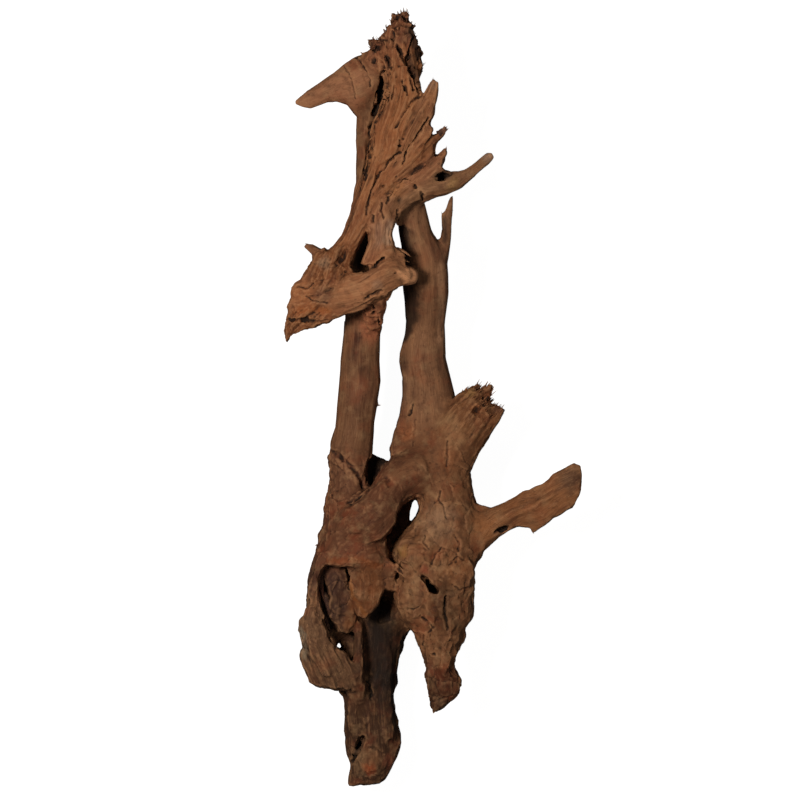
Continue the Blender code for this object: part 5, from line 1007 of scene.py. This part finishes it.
def splinters(name, roots, tips, widths, flatness, colour, seed):
    """One mesh of closed slivers, each from its root to its tip, in millimetres, and as wide as given there.

    Its middle bows to one side by a random share of its length. Its rings are ellipses, turned by a random
    angle, that shrink to the tip and are drawn in a little at the root.
    """
    draw = np.random.default_rng(seed)
    roots, tips, widths = (np.asarray(values, dtype=float) for values in (roots, tips, widths))
    count = len(roots)
    heading = unit(tips - roots)
    side = unit(np.cross(heading, unit(draw.normal(size=(count, 3)))))
    rise = np.cross(side, heading)
    length = np.linalg.norm(tips - roots, axis=1)
    bow = (draw.uniform(-0.12, 0.12, (count, 1)) * length[:, None]) * side
    share = np.linspace(0.0, 1.0, SPLINTER_RINGS)[None, :, None, None]
    angle = np.linspace(0.0, 2.0 * np.pi, SPLINTER_SIDES, endpoint=False)[None, None, :, None]
    line = (roots[:, None, None] + share * (tips - roots)[:, None, None]
            + 4.0 * share * (1.0 - share) * bow[:, None, None])
    half = 0.5 * widths[:, None, None, None] * ((1.0 - share) ** 0.75 + 0.03)
    half = half * (1.0 + draw.uniform(-0.18, 0.18, (count, SPLINTER_RINGS, 1, 1)))
    around = np.cos(angle) * side[:, None, None] + flatness * np.sin(angle) * rise[:, None, None]
    rings = line + half * around
    root_point = roots - 0.5 * widths[:, None] * heading
    tip_point = tips + 0.2 * widths[:, None] * heading
    points = np.concatenate([rings.reshape(count, -1, 3), np.stack([root_point, tip_point], axis=1)], axis=1)
    along = np.broadcast_to(share, (count, SPLINTER_RINGS, SPLINTER_SIDES, 1)).reshape(count, -1)
    along = np.concatenate([along, np.zeros((count, 1)), np.ones((count, 1))], axis=1) * length[:, None]

    ring, spoke = np.meshgrid(np.arange(SPLINTER_RINGS - 1), np.arange(SPLINTER_SIDES), indexing="ij")
    here = (ring * SPLINTER_SIDES + spoke).ravel()
    beside = (ring * SPLINTER_SIDES + (spoke + 1) % SPLINTER_SIDES).ravel()
    walls = np.stack([here, beside, beside + SPLINTER_SIDES, here + SPLINTER_SIDES], axis=1)
    this = np.arange(SPLINTER_SIDES)
    after = (this + 1) % SPLINTER_SIDES
    last = (SPLINTER_RINGS - 1) * SPLINTER_SIDES
    root_cap = np.stack([after, this, np.full_like(this, last + SPLINTER_SIDES)], axis=1)
    tip_cap = np.stack([last + this, last + after, np.full_like(this, last + SPLINTER_SIDES + 1)], axis=1)
    step = np.arange(count)[:, None, None] * points.shape[1]
    faces = (walls[None] + step).reshape(-1, 4).tolist()
    faces += (np.concatenate([root_cap, tip_cap])[None] + step).reshape(-1, 3).tolist()

    mesh = bpy.data.meshes.new(name)
    mesh.from_pydata((points.reshape(-1, 3) / 1000.0).tolist(), [], faces)
    mesh.shade_smooth()
    piece = put_in_scene(name, mesh)

    # Each sliver has its own stretch of grain and its own tone, and is darker at its root, painted shade
    # where it goes into the wood.
    flat = points.reshape(-1, 3)
    own_stretch = 37.0 * np.repeat(np.arange(count), points.shape[1])
    grain = np.column_stack([along.ravel() + own_stretch, flat[:, :2]])
    shade = np.repeat(draw.uniform(0.75, 1.2, (count, 1)), points.shape[1], axis=0)
    tones = np.array(paint(colour))[None] * shade
    tones[:, 3] = 1.0
    # Painted shade at the sliver's root.
    root_shade = np.clip(0.75 - along.ravel() / np.repeat(length, points.shape[1]) * 1.6, 0.0, 1.0)
    corner_points = corner_points_of(piece)
    add_attribute(piece, "tint", "FLOAT_COLOR", "POINT", tones)
    add_attribute(piece, "dirt_and_shade", "FLOAT", "POINT", root_shade)
    add_attribute(piece, "wear", "FLOAT", "POINT", np.zeros(len(flat)))
    add_attribute(piece, "streakiness", "FLOAT", "POINT", np.full(len(flat), 0.7))
    for attribute in ("grain_a", "grain_b"):
        add_attribute(piece, attribute, "FLOAT_VECTOR", "CORNER", grain[corner_points])
    add_attribute(piece, "grain_mix", "FLOAT", "CORNER", np.zeros(len(corner_points)))
    mesh.materials.append(wood.data.materials[0])
    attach(piece, "root")


def bristles(name, where, count, seed, outward_share, way, spread, buried, widths, colour):
    """Short slivers, 4 to 9 mm long, at random points of the thinned skin where the test holds.

    Each points along the given way, turned towards the skin's outward direction by a share and a little at
    random, and its root is buried by the given depth.
    """
    chosen = np.random.default_rng(seed).choice(np.flatnonzero(where), count, replace=False)
    roots, outward = kept_points[chosen], normals_of(wood)[chosen]
    draw = np.random.default_rng(seed + 1)
    heading = unit(outward_share * outward + way + draw.normal(0.0, spread, outward.shape))
    tips = roots + draw.uniform(4.0, 9.0, (count, 1)) * heading
    splinters(name, roots - buried * heading, tips, draw.uniform(*widths, count), 0.6, colour, seed + 2)


# The listed points, each as its tip (x, y, z), where it points (x, y), its length and its width
NAMED_POINTS = {
    "crown": ("#5f3c2a", [
        (-105, 498, 186, -0.8, 0.6, 10, 4), (-98, 496, 188, -0.5, 0.9, 9, 4),
        (-95, 515, 190, -0.9, 0.4, 14, 7), (-88, 519, 192, -0.6, 0.8, 12, 6),
        (-77, 520, 196, -0.5, 0.9, 11, 5), (-72, 531, 194, -0.5, 0.9, 12, 5),
        (-69, 536, 192, -0.3, 1.0, 10, 4), (-61, 541, 192, -0.5, 0.9, 10, 4),
        (-58, 547, 190, -0.5, 0.9, 10, 4), (-57, 554, 190, -0.4, 0.9, 11, 4),
        (-51, 557, 188, -0.2, 1.0, 11, 4), (-47, 559, 190, -0.2, 1.0, 11, 5),
        (-43, 562, 192, 0.0, 1.0, 14, 4), (-38, 561, 192, 0.2, 1.0, 13, 4), (-35, 556, 188, 0.4, 0.9, 11, 4),
        (-35, 547, 186, 0.6, 0.8, 11, 4), (-31, 541, 190, 0.6, 0.8, 10, 4), (-25, 540, 186, 0.4, 0.9, 13, 3),
        (-27, 528, 190, 0.8, 0.5, 10, 5), (-22, 516, 190, 0.8, 0.5, 10, 5), (-21, 505, 192, 0.8, 0.4, 9, 5),
        (-14, 494, 194, 0.9, 0.3, 10, 6), (-14, 481, 194, 0.9, 0.2, 9, 5), (-17, 468, 196, 0.9, 0.2, 8, 5)]),
    "prongs": ("#7a5444", [
        (0, 459, 240, 0.1, 1.0, 22, 11), (6, 453, 239, 0.3, 1.0, 18, 9), (19, 361, 223, 0.38, 0.92, 16, 8)]),
    "middle_prong": ("#644a3e", [
        (20, 390, 229, 0.72, 0.69, 15, 9), (22, 387, 228, 0.78, 0.62, 15, 9),
        (17, 391, 228, 0.66, 0.75, 14, 8)]),
    "torn_end": ("#7a5030", [
        (36, 6, 122, 0.4, 0.9, 14, 5), (43, 13, 126, 0.4, 0.9, 16, 6), (50, 17, 128, 0.5, 0.9, 16, 6),
        (56, 18, 130, 0.4, 0.9, 16, 6), (61, 18, 128, 0.5, 0.9, 16, 5), (65, 22, 130, 0.5, 0.9, 18, 5),
        (70, 17, 126, 0.5, 0.9, 16, 5), (74, 19, 130, 0.5, 0.9, 18, 5), (79, 25, 130, 0.4, 0.9, 26, 8),
        (83, 23, 130, 0.4, 0.9, 24, 8), (88, 18, 130, 0.5, 0.9, 20, 7), (94, 12, 132, 0.75, 0.7, 20, 1.8),
        (90, -8, 128, 0.9, 0.4, 12, 5)]),
    "rot_in_the_cavity": ("#3c2722", [
        (-156, -292, 146, 0.1, -1.0, 46, 15), (-163, -285, 140, 0.0, -1.0, 42, 12),
        (-150, -318, 144, 0.25, -1.0, 38, 13), (-145, -338, 140, 0.3, -1.0, 34, 11),
        (-152, -262, 142, -0.4, -0.9, 22, 12)]),
    "neck": ("#8f6648", [
        (-32, 203, 240, 0.9, -0.42, 27, 8), (-34, 195, 238, 0.92, -0.38, 22, 7)]),
    "side": ("#6b4632", [
        (-184, 222, 230, -0.85, 0.5, 18, 7), (28, 290, 173, 0.1, 1.0, 20, 5),
        (12, 268, 170, -0.5, 0.8, 12, 4), (-75, -10, 142, 1.0, 0.1, 9, 5), (82, -157, 134, 0.9, 0.2, 12, 5),
        (145, -195, 146, 0.2, -1.0, 12, 6), (-154, -137, 124, -1.0, 0.0, 8, 5),
        (-170, -212, 136, -0.9, -0.2, 8, 5), (42, 12, 124, -0.3, 0.9, 10, 3)]),
}
for group, (colour, rows) in NAMED_POINTS.items():
    rows = np.array(rows, dtype=float)
    tips = rows[:, :3] + DRAWING_SHIFT
    heading = unit(np.column_stack([rows[:, 3:5], np.full(len(rows), 0.08)]))
    splinters(group + "_points", tips - heading * rows[:, 5:6], tips, rows[:, 6], 0.7, colour, 211)

# Short bristles all over the crown and the torn end, at random
crown = (kept_points[:, 1] > 468) & (kept_points[:, 0] > -98) & (kept_points[:, 2] > 165)
crown &= kept_facing < 0.45
to_the_crown = np.array([0.0, 0.8, 0.0])
bristles("crown_bristles", crown, 100, 301, 0.55, to_the_crown, 0.25, 1.5, (1.6, 3.4), "#5c3a28")

stub_axis = unit(np.array([0.62, 0.78, 0.1]))
torn_end = (kept_points - np.array([58.0, -22.0, 125.0])) @ stub_axis > 6.0
torn_end &= np.linalg.norm(kept_points - np.array([74.0, -2.0, 126.0]), axis=1) < 34.0
bristles("torn_bristles", torn_end, 90, 311, 0.3, stub_axis, 0.18, 2.0, (1.4, 3.2), "#74482c")


# The floor and the light
# The floor is matt white. A soft key light stands high at the upper left, and a weak one fills in.

# Half the floor's side, and how high the middle of the wood lies above it, in metres
FLOOR_HALF = 9.0
WOOD_MIDDLE = 0.15
floor_mesh = bpy.data.meshes.new("studio_floor")
corners = [(x * FLOOR_HALF, y * FLOOR_HALF, 0.0) for x, y in ((-1, -1), (1, -1), (1, 1), (-1, 1))]
floor_mesh.from_pydata(corners, [], [(0, 1, 2, 3)])
floor = put_in_scene("studio_floor", floor_mesh)
floor.visible_diffuse = False
floor.visible_glossy = False
matt_white = bpy.data.materials.new("matt white paint")
matt_white.use_nodes = True
white = matt_white.node_tree.nodes["Principled BSDF"]
for name, value in (("Base Color", paint("#808080")), ("Roughness", 0.9), ("Specular IOR Level", 0.0),
                    ("Emission Color", paint("#ffffff")), ("Emission Strength", 0.97)):
    white.inputs[name].default_value = value
floor_mesh.materials.append(matt_white)

world = bpy.data.worlds.new("studio air")
bpy.context.scene.world = world
world.use_nodes = True
air = world.node_tree.nodes["Background"]
air.inputs["Color"].default_value = paint("#ffffff")
air.inputs["Strength"].default_value = 0.07


def soft_light(name, place, size, power):
    """A square, warm, soft light that faces the middle of the wood. Lengths are in metres, power in watts."""
    light = bpy.data.lights.new(name, "AREA")
    light.size = size
    light.energy = power
    light.color = paint("#fff1e3")[:3]
    lamp = put_in_scene(name, light)
    lamp.location = place
    towards = Vector((0.0, 0.0, WOOD_MIDDLE)) - Vector(place)
    lamp.rotation_euler = towards.to_track_quat("-Z", "Y").to_euler()


soft_light("key light", (-1.65, 0.38, 4.05), 0.8, 148.0)
soft_light("fill light", (2.5, -1.0, 3.5), 1.6, 18.0)


# The camera
# It looks straight down on the lying wood from far away, as the photograph looks at its front.

# How wide the picture is at the middle of the wood, in metres, and the lens and its sensor, in millimetres
PICTURE_WIDTH = 1.1507
LENS = 1000.0
SENSOR = 36.0
camera_data = bpy.data.cameras.new("camera")
camera_data.sensor_width = SENSOR
camera_data.lens = LENS
camera_data.clip_end = 100.0
camera = put_in_scene("camera", camera_data)
camera.location = (-0.0488, -0.0022, WOOD_MIDDLE + PICTURE_WIDTH * LENS / SENSOR)
bpy.context.scene.camera = camera
bpy.context.scene.view_settings.view_transform = "Standard"
